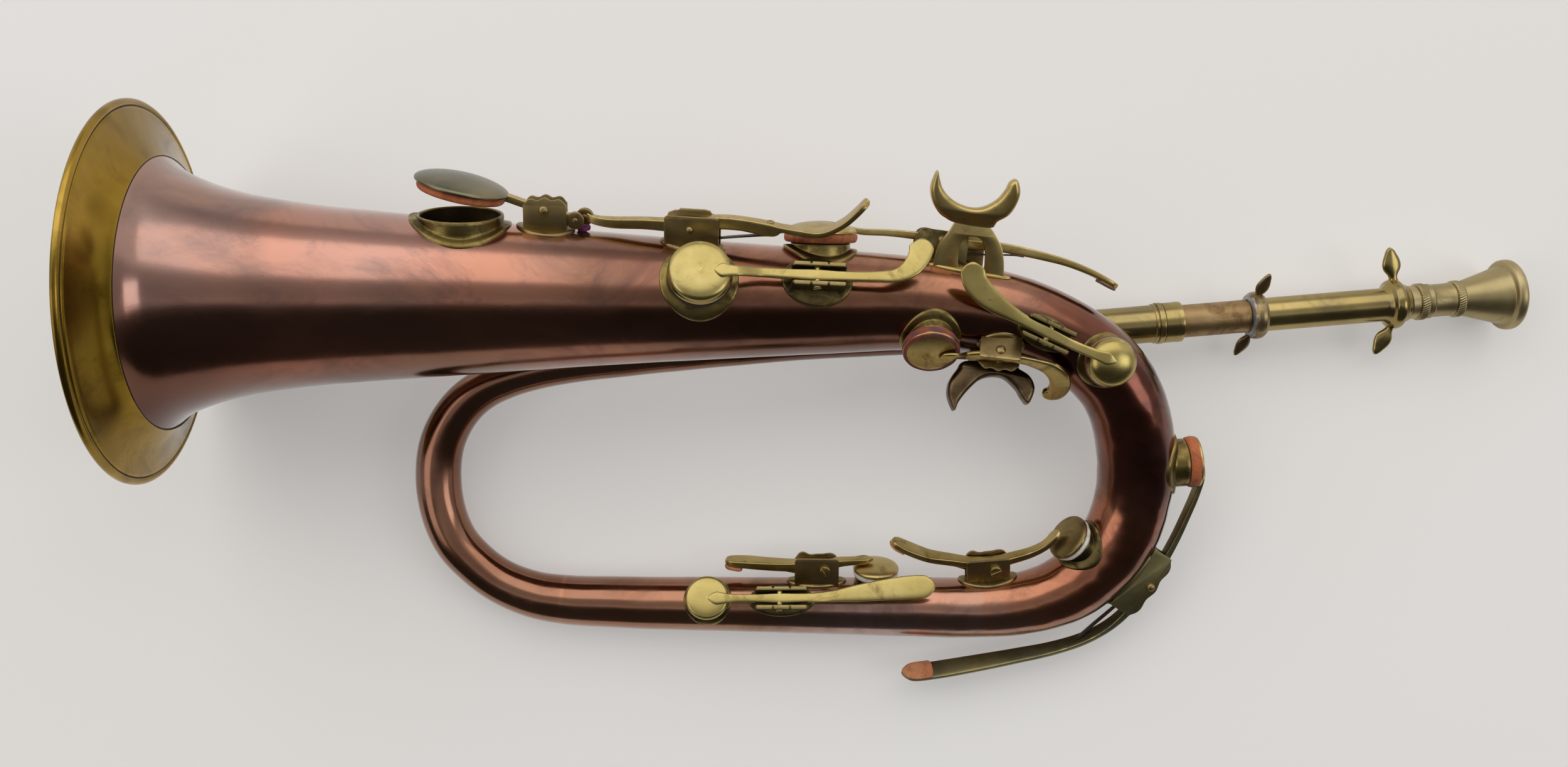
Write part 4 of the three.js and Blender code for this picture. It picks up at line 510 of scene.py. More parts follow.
def metal(name, tones, grime_and_shade, rough=(0.2, 0.42), patch=14, coat=0.0, bump=0.12, speck=0.5, brush=None, edge=True, grime_at=(0.52, 0.72), metallic=1.0, hues=(), patina_and_painted_shade=False):
    """Worn metal: broad tones, dark stains, pits, scratches, brighter worn edges, painted shade in concave creases, and
    optionally copper tones by position with painted shade and painted sheen.
    """
    m, t, b = clear(name)
    co = t.nodes.new("ShaderNodeTexCoord").outputs["Object"]
    wide = noise_node(t, patch, 3, 0.55, co, 0.6)
    col = ramp(t, wide, tones)
    mid = noise_node(t, patch * 4.3, 5, 0.62, co, 0.3)
    col = mix(t, ramp(t, mid, [(0.35, g(0.0)), (0.7, g(0.45))]), col, tones[0][1])
    for i, (scale, lo, hi, much, hue) in enumerate(hues):
        area_ = noise_node(t, scale, 2, 0.5, stretched(t, co, (1, 1, 1), (0.7 * i, 1.1 * i, 0.3 + i)), 0.4)
        col = mix(t, ramp(t, area_, [(lo, g(0.0)), (hi, g(much))]), col, hue)
    stain = noise_node(t, patch * 2.1, 7, 0.68, stretched(t, co, (1, 1.3, 0.9), (0.4, 0.2, 0.9)), 1.1)
    smask = ramp(t, stain, [(grime_at[0], g(0.0)), (grime_at[1], g(1.0))])
    col = mix(t, smask, col, grime_and_shade)
    # pits and specks
    vor = t.nodes.new("ShaderNodeTexVoronoi")
    vor.inputs["Scale"].default_value = 210
    t.links.new(co, vor.inputs["Vector"])
    pit = ramp(t, vor.outputs["Distance"], [(0.03, g(1.0)), (0.12, g(0.0))])
    gate = ramp(t, noise_node(t, 90, 2, 0.5, co), [(0.56, g(0.0)), (0.66, g(speck))])
    pitm = math_node(t, "MULTIPLY", pit, gate)
    col = mix(t, pitm, col, tuple(0.25 * c for c in grime_and_shade))
    if edge:
        geo = t.nodes.new("ShaderNodeNewGeometry")
        wear = ramp(t, geo.outputs["Pointiness"], [(0.52, g(0.0)), (0.6, g(0.7))])
        col = mix(t, wear, col, tuple(min(1, 1.25 * c) for c in tones[-1][1]))
        # painted shade: concave creases, found by pointiness, are darkened towards a dark stain tone
        crease_shade = ramp(t, geo.outputs["Pointiness"], [(0.4, g(0.75)), (0.485, g(0.0))])
        col = mix(t, crease_shade, col, tuple(0.35 * c for c in grime_and_shade))
    if patina_and_painted_shade:
        # copper tones by position: a darker band along the lower side of the tubes and a darker bell-flare underside
        # are painted shade standing in for a dark reflection; a greyish-pink tint on the upper side near the bell is
        # painted sheen, partly patina; the orange-brown left loop, the darker, redder right bow and its blots are
        # patina tones
        pos = t.nodes.new("ShaderNodeSeparateXYZ")
        t.links.new(co, pos.inputs[0])
        wav = math_node(t, "MULTIPLY_ADD", noise_node(t, 18, 3, 0.5, co), 0.016, -0.008)
        yy = math_node(t, "ADD", pos.outputs["Y"], wav)
        # painted shade: darker band along the lower side of the tubes
        lower_side_painted_shade = ramp(t, math_node(t, "MULTIPLY_ADD", yy, 5.0, 0.5), [(0.27, g(1.0)), (0.36, (0.52, 0.44, 0.42)), (0.60, (0.40, 0.33, 0.33)), (0.68, (0.52, 0.47, 0.44)), (0.74, (0.86, 0.84, 0.82)), (0.80, g(1.0))])
        xx = math_node(t, "ADD", pos.outputs["X"], wav)
        # painted sheen, partly patina: greyish-pink tint on the upper side towards the bell
        bell_end_sheen_and_patina = ramp(t, math_node(t, "MULTIPLY_ADD", xx, 3.0, 1.0), [(0.16, g(0.62)), (0.50, g(0.5)), (0.85, g(0.0))])
        upper = ramp(t, math_node(t, "MULTIPLY_ADD", yy, 5.0, 0.5), [(0.58, g(0.0)), (0.70, g(1.0))])
        bell_end_sheen_and_patina = math_node(t, "MULTIPLY", bell_end_sheen_and_patina, upper)
        col = mix(t, math_node(t, "MULTIPLY", bell_end_sheen_and_patina, ramp(t, noise_node(t, 9, 3, 0.5, co, 0.5), [(0.36, g(0.35)), (0.6, g(1.0))])), col, (0.37, 0.285, 0.27))
        loop = ramp(t, math_node(t, "MULTIPLY_ADD", xx, 3.0, 1.0), [(0.74, g(1.0)), (0.90, g(0.0))])
        loop = math_node(t, "MULTIPLY", loop, ramp(t, math_node(t, "MULTIPLY_ADD", yy, 5.0, 0.5), [(0.62, g(1.0)), (0.72, g(0.0))]))
        col = mix(t, math_node(t, "MULTIPLY", loop, ramp(t, noise_node(t, 13, 4, 0.6, co, 0.8), [(0.38, g(0.2)), (0.62, g(0.8))])), col, (0.37, 0.185, 0.105))
        # less of the painted shade band on the left loop
        lower_side_painted_shade = mix(t, math_node(t, "MULTIPLY", loop, 0.5), lower_side_painted_shade, g(1.0))
        # painted shade: darker underside of the bell flare
        under = math_node(t, "MULTIPLY", ramp(t, math_node(t, "MULTIPLY_ADD", xx, 3.0, 1.0), [(0.20, g(1.0)), (0.62, g(0.0))]), ramp(t, math_node(t, "MULTIPLY_ADD", yy, 5.0, 0.5), [(0.50, g(1.0)), (0.70, g(0.0))]))
        lower_side_painted_shade = mix(t, under, lower_side_painted_shade, (0.30, 0.20, 0.21))
        right = ramp(t, math_node(t, "MULTIPLY_ADD", xx, 5.0, 0.0), [(0.30, g(1.0)), (0.46, (1.0, 0.86, 0.80)), (0.62, (0.82, 0.58, 0.52)), (0.80, (0.60, 0.42, 0.38)), (1.0, (0.68, 0.50, 0.46))])
        blot = ramp(t, noise_node(t, 34, 6, 0.7, co, 1.4), [(0.40, g(0.35)), (0.60, g(1.0))])
        right = mix(t, 1.0, right, mix(t, ramp(t, math_node(t, "MULTIPLY_ADD", xx, 5.0, 0.0), [(0.5, g(0.0)), (0.66, g(0.75))]), g(1.0), blot), "MULTIPLY")
        # the painted shade band and the right-bow patina tone darken the colour
        col = mix(t, 1.0, mix(t, 1.0, col, lower_side_painted_shade, "MULTIPLY"), right, "MULTIPLY")
    t.links.new(col, b.inputs["Base Color"])
    b.inputs["Metallic"].default_value = metallic
    # roughness
    fine = noise_node(t, 160, 6, 0.7, stretched(t, co, (1, 6, 6), (0, 0, 0.3)))
    r1 = math_node(t, "MULTIPLY_ADD", wide, (rough[1] - rough[0]), rough[0])
    r2 = math_node(t, "MULTIPLY_ADD", fine, 0.12, r1)
    r3 = math_node(t, "MULTIPLY_ADD", smask, 0.16, r2)
    t.links.new(math_node(t, "SUBTRACT", r3, 0.06), b.inputs["Roughness"])
    if coat:
        b.inputs["Coat Weight"].default_value = coat
        b.inputs["Coat Roughness"].default_value = 0.12
        b.inputs["Coat IOR"].default_value = 1.45
    # bump
    scr = noise_node(t, 60, 8, 0.75, stretched(t, co, (1.5, 9, 9), (0.2, 0.1, 0.5)) if brush is None else stretched(t, co, brush))
    h = math_node(t, "ADD", math_node(t, "MULTIPLY", scr, 0.35), math_node(t, "MULTIPLY", noise_node(t, 45, 3, 0.5, co), 0.8))
    h = math_node(t, "SUBTRACT", h, math_node(t, "MULTIPLY", pitm, 0.6))
    bp = t.nodes.new("ShaderNodeBump")
    bp.inputs["Strength"].default_value = bump
    bp.inputs["Distance"].default_value = 0.0006
    t.links.new(h, bp.inputs["Height"])
    t.links.new(bp.outputs[0], b.inputs["Normal"])
    return m


def leather(name, tones, dark, scale=260, rough=0.8, bump=0.5):
    m, t, b = clear(name)
    co = t.nodes.new("ShaderNodeTexCoord").outputs["Object"]
    col = ramp(t, noise_node(t, 70, 5, 0.65, co, 0.5), tones)
    stain = ramp(t, noise_node(t, 120, 6, 0.7, co, 0.9), [(0.5, g(0.0)), (0.72, g(0.85))])
    col = mix(t, stain, col, dark)
    t.links.new(col, b.inputs["Base Color"])
    b.inputs["Roughness"].default_value = rough
    b.inputs["Sheen Weight"].default_value = 0.06
    vor = t.nodes.new("ShaderNodeTexVoronoi")
    vor.inputs["Scale"].default_value = scale * 3
    t.links.new(co, vor.inputs["Vector"])
    h = math_node(t, "ADD", vor.outputs["Distance"], noise_node(t, scale * 4, 6, 0.7, co))
    bp = t.nodes.new("ShaderNodeBump")
    bp.inputs["Strength"].default_value = bump
    bp.inputs["Distance"].default_value = 0.0003
    t.links.new(h, bp.inputs["Height"])
    t.links.new(bp.outputs[0], b.inputs["Normal"])
    return m


COPPER = metal("patinated_copper_painted_shade",
               [(0.22, (0.17, 0.060, 0.028)), (0.38, (0.28, 0.108, 0.052)), (0.50, (0.37, 0.158, 0.084)), (0.60, (0.45, 0.202, 0.112)), (0.70, (0.40, 0.215, 0.165)), (0.84, (0.35, 0.132, 0.066))],
               (0.11, 0.036, 0.020), rough=(0.13, 0.22), patch=11, coat=0.6, bump=0.05, speck=0.55, grime_at=(0.48, 0.76), patina_and_painted_shade=True,
               hues=((5.5, 0.50, 0.62, 0.75, (0.43, 0.31, 0.28)), (7.0, 0.53, 0.66, 0.7, (0.25, 0.135, 0.055)), (9.0, 0.56, 0.68, 0.8, (0.62, 0.235, 0.135))))
BELL = metal("garland_brass",
             [(0.28, (0.16, 0.088, 0.007)), (0.42, (0.28, 0.168, 0.018)), (0.55, (0.41, 0.255, 0.042)), (0.75, (0.52, 0.345, 0.085))],
             (0.080, 0.044, 0.004), rough=(0.15, 0.25), patch=8, bump=0.03, grime_at=(0.50, 0.74),
             hues=((16, 0.50, 0.62, 0.7, (0.16, 0.100, 0.012)), (26, 0.54, 0.64, 0.5, (0.11, 0.060, 0.006))))
BRIGHT = metal("polished_brass",
               [(0.25, (0.31, 0.235, 0.075)), (0.5, (0.45, 0.355, 0.125)), (0.8, (0.54, 0.44, 0.18))],
               (0.13, 0.09, 0.025), rough=(0.22, 0.34), patch=30, bump=0.035, grime_at=(0.58, 0.8))
LEVER = metal("lever_brass",
              [(0.25, (0.32, 0.225, 0.070)), (0.5, (0.49, 0.360, 0.130)), (0.8, (0.60, 0.475, 0.215))],
              (0.15, 0.092, 0.022), rough=(0.24, 0.38), patch=34, bump=0.05, grime_at=(0.54, 0.76))
DULL = metal("tarnished_brass",
             [(0.25, (0.17, 0.118, 0.045)), (0.5, (0.30, 0.215, 0.088)), (0.8, (0.44, 0.330, 0.150))],
             (0.08, 0.052, 0.020), rough=(0.28, 0.46), patch=36, bump=0.08, grime_at=(0.48, 0.7))
GREEN = metal("grey_green_brass",
              [(0.25, (0.16, 0.150, 0.085)), (0.5, (0.25, 0.220, 0.105)), (0.8, (0.39, 0.320, 0.140))],
              (0.095, 0.105, 0.085), rough=(0.28, 0.46), patch=40, bump=0.08, grime_at=(0.50, 0.72),
              hues=((30, 0.50, 0.62, 0.7, (0.30, 0.225, 0.085)),))
COLLAR = metal("brown_collar_brass",
               [(0.25, (0.20, 0.135, 0.070)), (0.5, (0.34, 0.245, 0.120)), (0.8, (0.48, 0.370, 0.190))],
               (0.085, 0.055, 0.032), rough=(0.26, 0.42), patch=44, bump=0.08, grime_at=(0.48, 0.70))
GREYCUP = metal("grey_patina_brass",
                [(0.25, (0.12, 0.115, 0.08)), (0.5, (0.21, 0.19, 0.12)), (0.8, (0.33, 0.27, 0.15))],
                (0.09, 0.09, 0.07), rough=(0.24, 0.36), patch=24, bump=0.08, grime_at=(0.55, 0.8))
CHIM = metal("chimney_brass",
             [(0.25, (0.14, 0.095, 0.028)), (0.5, (0.27, 0.20, 0.065)), (0.8, (0.44, 0.335, 0.125))],
             (0.05, 0.034, 0.015), rough=(0.24, 0.38), patch=30, bump=0.06, grime_at=(0.48, 0.66))
TUBE = metal("mouthpipe_brass",
             [(0.25, (0.28, 0.212, 0.075)), (0.5, (0.40, 0.305, 0.118)), (0.8, (0.50, 0.39, 0.165))],
             (0.15, 0.105, 0.045), rough=(0.17, 0.28), patch=18, bump=0.018, grime_at=(0.54, 0.78),
             hues=((20, 0.50, 0.60, 0.6, (0.22, 0.170, 0.095)),))
INNER = metal("dull_slide_brass",
              [(0.25, (0.26, 0.16, 0.07)), (0.5, (0.34, 0.22, 0.10)), (0.8, (0.42, 0.29, 0.14))],
              (0.14, 0.08, 0.035), rough=(0.36, 0.5), patch=40, bump=0.2, grime_at=(0.5, 0.7))
MOUTH = metal("mouthpiece_brass",
              [(0.25, (0.30, 0.235, 0.115)), (0.5, (0.42, 0.335, 0.165)), (0.8, (0.53, 0.43, 0.24))],
              (0.16, 0.12, 0.055), rough=(0.34, 0.46), patch=26, bump=0.10, grime_at=(0.54, 0.78))
SOLDER = metal("solder_grey",
               [(0.25, (0.16, 0.17, 0.2)), (0.5, (0.26, 0.27, 0.3)), (0.8, (0.4, 0.38, 0.36))],
               (0.10, 0.11, 0.14), rough=(0.35, 0.55), patch=60, bump=0.4, grime_at=(0.5, 0.7))
# near-black brass: dark joint lines on the garland, and painted shade in the lining inside the bell key's chimney
DARK = metal("dark_joint_and_painted_shade_brass",
             [(0.25, (0.020, 0.016, 0.010)), (0.5, (0.035, 0.027, 0.014)), (0.8, (0.06, 0.045, 0.02))],
             (0.012, 0.009, 0.006), rough=(0.4, 0.55), patch=40, bump=0.1, grime_at=(0.5, 0.7))
DARKBRASS = metal("dark_saddle_brass",
                  [(0.25, (0.075, 0.056, 0.022)), (0.5, (0.16, 0.12, 0.045)), (0.8, (0.30, 0.23, 0.095))],
                  (0.035, 0.025, 0.010), rough=(0.28, 0.46), patch=44, bump=0.08, grime_at=(0.46, 0.66))
BRONZE = metal("brown_bronze",
               [(0.25, (0.085, 0.055, 0.030)), (0.5, (0.17, 0.115, 0.060)), (0.8, (0.30, 0.215, 0.12))],
               (0.04, 0.025, 0.014), rough=(0.22, 0.36), patch=40, bump=0.05, grime_at=(0.46, 0.7))
STEEL = metal("spring_steel",
              [(0.25, (0.045, 0.04, 0.035)), (0.5, (0.09, 0.075, 0.06)), (0.8, (0.15, 0.12, 0.09))],
              (0.10, 0.045, 0.02), rough=(0.3, 0.5), patch=50, bump=0.2, grime_at=(0.52, 0.66))
RED = leather("orange_red_leather", [(0.3, (0.27, 0.060, 0.020)), (0.5, (0.50, 0.135, 0.042)), (0.75, (0.64, 0.235, 0.085))], (0.13, 0.045, 0.02))
BLACK = leather("black_leather", [(0.3, (0.010, 0.007, 0.006)), (0.5, (0.020, 0.013, 0.010)), (0.75, (0.035, 0.022, 0.016))], (0.008, 0.006, 0.006))
DARKRED = leather("dark_red_leather", [(0.3, (0.09, 0.018, 0.016)), (0.5, (0.22, 0.040, 0.026)), (0.75, (0.34, 0.085, 0.045))], (0.03, 0.03, 0.06))
WHITE = leather("white_leather", [(0.3, (0.62, 0.57, 0.48)), (0.55, (0.78, 0.74, 0.66)), (0.8, (0.86, 0.83, 0.77))], (0.36, 0.28, 0.18), bump=0.3)
TIP = leather("tip_leather", [(0.3, (0.33, 0.105, 0.042)), (0.5, (0.50, 0.190, 0.080)), (0.75, (0.60, 0.290, 0.140))], (0.14, 0.06, 0.025))
CORK = leather("cork", [(0.3, (0.14, 0.065, 0.03)), (0.5, (0.25, 0.13, 0.065)), (0.75, (0.36, 0.21, 0.11))], (0.10, 0.05, 0.03), scale=120, bump=0.8)
FELT = leather("purple_felt", [(0.3, (0.07, 0.012, 0.045)), (0.5, (0.14, 0.022, 0.085)), (0.75, (0.22, 0.05, 0.13))], (0.03, 0.01, 0.02), scale=160, bump=1.0)

BODY = "instrument_body"

# ---------------------------------------------------------------- copper tube
def tube_piece(name, i0, i1, sides, wall, node, cutters):
    """The tube between two stations, inner and outer wall, tone holes cut."""
    P, R, T = LINE[i0:i1 + 1, :3], LINE[i0:i1 + 1, 3], LT[i0:i1 + 1]
    ang = np.linspace(0, 2 * math.pi, sides, endpoint=False)
    outer, inner = [], []
    n = len(P)
    for i in range(n):
        t = T[i]
        u = unit(np.cross(t, [0, 0, 1]))
        v = np.cross(u, t)
        dirs = np.outer(np.cos(ang), u) + np.outer(np.sin(ang), v)
        r = np.full(sides, R[i])
        q = P[i] + dirs * R[i]
        for j in range(sides):
            r[j] += noise.noise(Vector(q[j] / 17 + 3.1)) * WIDE[i0 + i] + noise.noise(Vector(q[j] / 6.5 + 6.2)) * FINE[i0 + i]
        outer.append(P[i] + dirs * r[:, None])
        inner.append(P[i] + dirs * (R[i] - wall))
    v, f = rings_mesh(outer + inner[::-1], closed=True)
    me = bpy.data.meshes.new(name)
    me.from_pydata(S(v).tolist(), [], f)
    bm = bmesh.new()
    bm.from_mesh(me)
    bmesh.ops.recalc_face_normals(bm, faces=bm.faces)
    bm.to_mesh(me)
    bm.free()
    if cutters:
        o = bpy.data.objects.new(name + "_work", me)
        bpy.context.scene.collection.objects.link(o)
        cut = Mesh()
        for k in cutters:
            q = KEYS[k]
            cv, cf = revolve(q["C"], q["n"], [[q["R"] - 4.5, q["rc"] - 1.15], [q["R"] + 5, q["rc"] - 1.15]], n=56)
            cut.add(cv, cf)
        cm = bpy.data.meshes.new(name + "_cut")
        cm.from_pydata(S(np.vstack(cut.v)).tolist(), [], cut.f)
        bm = bmesh.new()
        bm.from_mesh(cm)
        bmesh.ops.recalc_face_normals(bm, faces=bm.faces)
        bm.to_mesh(cm)
        bm.free()
        co = bpy.data.objects.new(name + "_cut", cm)
        bpy.context.scene.collection.objects.link(co)
        md = o.modifiers.new("holes", "BOOLEAN")
        md.operation, md.solver, md.object = "DIFFERENCE", "EXACT", co
        dg = bpy.context.evaluated_depsgraph_get()
        new = bpy.data.meshes.new_from_object(o.evaluated_get(dg))
        bpy.data.objects.remove(o)
        bpy.data.objects.remove(co)
        me = new
        me.name = name
    return place(name, me, COPPER, BODY, [node], sharp=50)


iA, iB, iC = where(BOW[4]), where(BOW[-1]), where(LEFT[0])
at = [0, iA - 25, iA + 12, iB - 12, iB + 25, len(LINE) - 1]
WIDE = np.interp(np.arange(len(LINE)), at, [0.10, 0.12, 0.32, 0.30, 0.10, 0.10])
FINE = np.interp(np.arange(len(LINE)), at, [0.02, 0.03, 0.16, 0.16, 0.03, 0.03])
tube_piece("copper_main_tube", 0, iA, 112, 0.8, "main_tube", ["k1", "k2", "k3", "k5"])
tube_piece("copper_right_bow", iA, iB, 96, 0.8, "right_bow", ["k4", "k6", "k7"])
tube_piece("copper_lower_branch", iB, iC, 80, 0.8, "lower_branch", ["k8", "k9"])
tube_piece("copper_left_bow_and_leadpipe", iC, len(LINE) - 1, 72, 0.8, "left_bow_and_leadpipe", [])

# ---------------------------------------------------------------- bell garland
prof = catmull([[2.3, 72.0, 0], [2.75, 71.65, 0], [3.15, 71.2, 0], [3.4, 70.4, 0], [3.8, 68.8, 0], [5.2, 64.6, 0], [7.2, 59.9, 0], [9.2, 56.4, 0], [10.9, 54.1, 0], [11.5, 53.55, 0]], 0.8)[:, :2]
rim = [[0.9, 71.35], [0.3, 71.5], [0.02, 72.0], [0.0, 72.4], [0.0, 73.9], [0.12, 74.3], [0.45, 74.6], [0.95, 74.73], [1.4, 74.75], [1.9, 74.66], [2.4, 74.3], [2.8, 73.8], [2.95, 73.2], [2.85, 72.65], [2.5, 72.2]]
back = catmull([[11.5, 52.75, 0], [8.6, 55.3, 0], [6.5, 58.5, 0], [4.5, 63.1, 0], [2.8, 67.8, 0], [1.7, 70.2, 0]], 0.8)[:, :2]
v, f = revolve(BELL0, BELLX, np.vstack([rim, prof, back]), n=176, closed=True)
make("brass_bell_garland", v, f, BELL, BODY, ["bell_garland"], "bell_brass", sharp=60)
for nm, s_, r_ in (("garland_seam", 11.55, 53.44), ("garland_rim_groove", 2.38, 71.98)):
    v, f = revolve(BELL0, BELLX, [[s_ - 0.16, r_ - 0.3], [s_ - 0.16, r_ + 0.08], [s_, r_ + 0.14], [s_ + 0.16, r_ + 0.08], [s_ + 0.16, r_ - 0.3]], n=160, closed=True)
    make(nm, v, f, DARK, BODY)

# ---------------------------------------------------------------- keys: chimneys, pads, cups
NAMES = dict(k1="bell_key", k2="key_2", k3="key_3", k4="key_4", k5="key_5", k6="key_6", k7="key_7", k8="key_8", k9="key_9")
NODE = dict(k1a="bell_key_cup", k1b="bell_key_touch", **{k: n for k, n in NAMES.items() if k != "k1"})
GAP, OPEN, TAU = 0.3, math.radians(12.5), 2 * math.pi


def turn(p, c, axis, a):
    p, c, k = A(p), A(c), unit(axis)
    q = p - c
    return c + q * math.cos(a) + np.cross(k, q) * math.sin(a) + np.outer(q @ k if q.ndim > 1 else [q @ k], k).reshape(q.shape) * (1 - math.cos(a))


def chimney(k):
    q = KEYS[k]
    C, n = A(q["C"]), unit(q["n"])
    u = unit(q["T"])
    w = np.cross(n, u)
    rc, rim = q["rc"], q["rim"]
    N = 96
    th = np.linspace(0, TAU, N, endpoint=False)
    ring = lambda r, h: C + np.outer(r * np.cos(th), u) + np.outer(r * np.sin(th), w) + np.outer(np.broadcast_to(h, N), n)
    low = lambda r, off: rise(C, n, u, w, r * np.cos(th), r * np.sin(th), off)
    edge = np.minimum(low(rc, 0), rim - 1.6)
    R = []
    R.append(ring(rc - 1.15, low(rc, 0) - 1.2))
    R.append(ring(rc - 1.15, np.minimum(low(rc, 0) + 0.4, rim - 1.2)))
    R.append(ring(rc - 1.15, rim - 0.35))
    R.append(ring(rc - 1.0, rim - 0.08))
    R.append(ring(rc - 0.62, rim))
    R.append(ring(rc - 0.2, rim - 0.06))
    R.append(ring(rc, rim - 0.3))
    top = rim - 0.9
    foot = np.minimum(low(rc, 1.3), top)
    fw = dict(k2=1.65, k8=0.45).get(k, 1.0)
    for t in (0.15, 0.5, 0.85):
        R.append(ring(rc, top * (1 - t) + foot * t))
    R.append(ring(rc + 0.04, np.minimum(low(rc, 1.1), top)))
    for r, off in ((0.14, 1.0), (0.4, 0.96), (1.1, 0.93), (1.8, 0.89), (2.45, 0.82), (2.8, 0.68), (2.98, 0.42), (3.0, 0.1), (2.95, -0.35)):
        R.append(ring(rc + r * fw, low(rc + r * fw, off)))
    R.append(ring(rc + 0.5, low(rc + 0.5, -0.4)))
    v, f = rings_mesh(R, closed=True)
    make(NAMES[k] + "_chimney_turned", v, f, DARKBRASS if k == "k7" else CHIM, BODY, [NAMES[k] + "_chimney"], "key_brass", sharp=48)


PADS = dict(k1=RED, k2=BLACK, k3=RED, k4=DARKRED, k5=DARKRED, k6=RED, k7=WHITE, k8=WHITE, k9=WHITE)
PAD_SLOT = dict(k1="red_leather", k3="red_leather", k6="red_leather", k7="white_leather", k8="white_leather", k9="white_leather")
CUPS = dict(k1=GREYCUP, k2=BRIGHT, k3=LEVER, k4=BRIGHT, k5=LEVER, k6=LEVER, k7=DULL, k8=LEVER, k9=BRIGHT)
SHAPE = dict(k1=1.75, k2=3.6, k3=1.9, k4=2.15, k5=2.0, k6=2.0, k7=2.1, k8=2.0, k9=3.4)


def cup_rows(q, power):
    h2 = q["rim"] + GAP + q["tp"] + GAP
    rq, sk, dm = q["rq"], q["skirt"], q["dome"]
    rows = [[h2 + 0.5, 0.0], [h2 + 0.5, rq - 1.3], [h2 + 0.12, rq - 0.8], [h2, rq - 0.5], [h2 + 0.08, rq - 0.15], [h2 + 0.3, rq]]
    if sk > 1.4:
        rows += [[h2 + 0.75, rq - 0.02], [h2 + 0.95, rq - 0.22], [h2 + sk * 0.6, rq - 0.26]]
        rq -= 0.26
        base = h2 + sk * 0.6
        tall = sk * 0.4 + dm
    else:
        rows += [[h2 + sk * 0.8, rq - 0.03]]
        base = h2 + sk * 0.8
        tall = sk * 0.2 + dm
    for a in np.linspace(0.04, 1, 30) * math.pi / 2:
        if math.cos(a) ** (2 / power) > 0.3:
            rows.append([base + tall * math.sin(a) ** (2 / power), (rq - 0.03) * math.cos(a) ** (2 / power)])
    for rho in (0.27, 0.23, 0.19, 0.15, 0.11, 0.07, 0.035, 0.0):
        rows.append([base + tall * (1 - rho ** power) ** (1 / power) + 0.05 * (0.3 - rho), (rq - 0.03) * rho])
    return rows


SWOLLEN = dict(k5=2.2, k6=1.6, k4=1.2, k3=0.7, k2=0.0)     # pads that bulge out over the skirt of the cup


def key_head(k):
    q = KEYS[k]
    body = "bell_key_cup_arm" if k == "k1" else NAMES[k] + "_arm"
    c, n = A(q["C"]), unit(q["n"])
    if k == "k1":
        s = SADDLES["k1a"]
        a = OPEN
        if (turn(c + n * q["rim"], s["P"], s["w"], 0.01) - (c + n * q["rim"])) @ n < 0:
            a = -a
        tip = turn(c + n, s["P"], s["w"], a)
        c = turn(c, s["P"], s["w"], a)
        n = unit(tip - c)
    h0, rp, tp = q["rim"] + GAP, q["rp"], q["tp"]
    rp, tp = max(rp, q["rq"] + 0.25) if k in SWOLLEN else rp, tp + SWOLLEN.get(k, 0.0)
    h1 = h0 + tp
    rows = [[h0 + 0.12, 0.0], [h0 + 0.1, rp * 0.45], [h0 + 0.02, rp * 0.7], [h0, rp - 1.6], [h0 + 0.12, rp - 0.9], [h0 + tp * 0.16, rp - 0.35], [h0 + tp * 0.36, rp - 0.04],
            [h0 + tp * 0.55, rp], [h0 + tp * 0.75, rp - 0.12], [h1 - 0.1, rp - 0.5], [h1 + 0.1, rp - 1.1], [h1 + 0.15, rp * 0.5], [h1 + 0.15, 0.0]]
    seed = 0.7 * int(k[1])
    wob = lambda s, t: -0.14 * rp / 12 * (0.5 + 0.5 * np.sin(3 * t + seed) * np.cos(2 * t + 5 * seed)) - 0.05 * (1 + np.sin(11 * t + s * 2 + seed))
    v, f = revolve(c, n, rows, n=88, ripple=wob)
    make(NAMES[k] + "_pad_stuffed", v, f, PADS[k], body, [NAMES[k] + "_pad"], PAD_SLOT.get(k, "dark_leather"), padded=0.85)
    v, f = revolve(c, n, cup_rows(q, SHAPE[k]), n=96)
    make(NAMES[k] + "_cup_spun", v, f, CUPS[k], body, [], "key_brass", sharp=60)
    return c, n


q = KEYS["k1"]
# painted shade: a near-black lining inside the bell key's chimney, reaching into the tube, darkens the hole
v, f = revolve(q["C"], q["n"], [[q["R"] - 3.5, q["rc"] - 1.45], [q["R"] - 3.5, q["rc"] - 1.2], [q["rim"] - 0.55, q["rc"] - 1.2], [q["rim"] - 0.45, q["rc"] - 1.32], [q["rim"] - 0.6, q["rc"] - 1.45]], n=80, closed=True)
make("bell_key_chimney_painted_shade_lining", v, f, DARK, BODY, [], "key_brass")
HEADS = {}
for k in KEYS:
    chimney(k)
    HEADS[k] = key_head(k)

# ---------------------------------------------------------------- levers, springs, leather tips
LEVER_MAT = dict(k1a=LEVER, k1b=LEVER, k2=BRIGHT, k3=LEVER, k4=BRIGHT, k5=LEVER, k6=GREEN, k7=LEVER, k8=LEVER, k9=BRIGHT)
TIP_AT = dict(k1b=3.2, k2=4.4, k3=3.0, k4=4.6, k5=3.0, k6=4.2, k7=4.4, k8=4.0, k9=4.6)


def hub(s, r):
    P, w = A(s["P"]), unit(s["w"])
    v, f = revolve(P, w, fillet([[-2.65, 1.28], [-2.65, r], [2.65, r], [2.65, 1.28]], 0.3, 4, closed=True), n=40, closed=True)
    return v, f


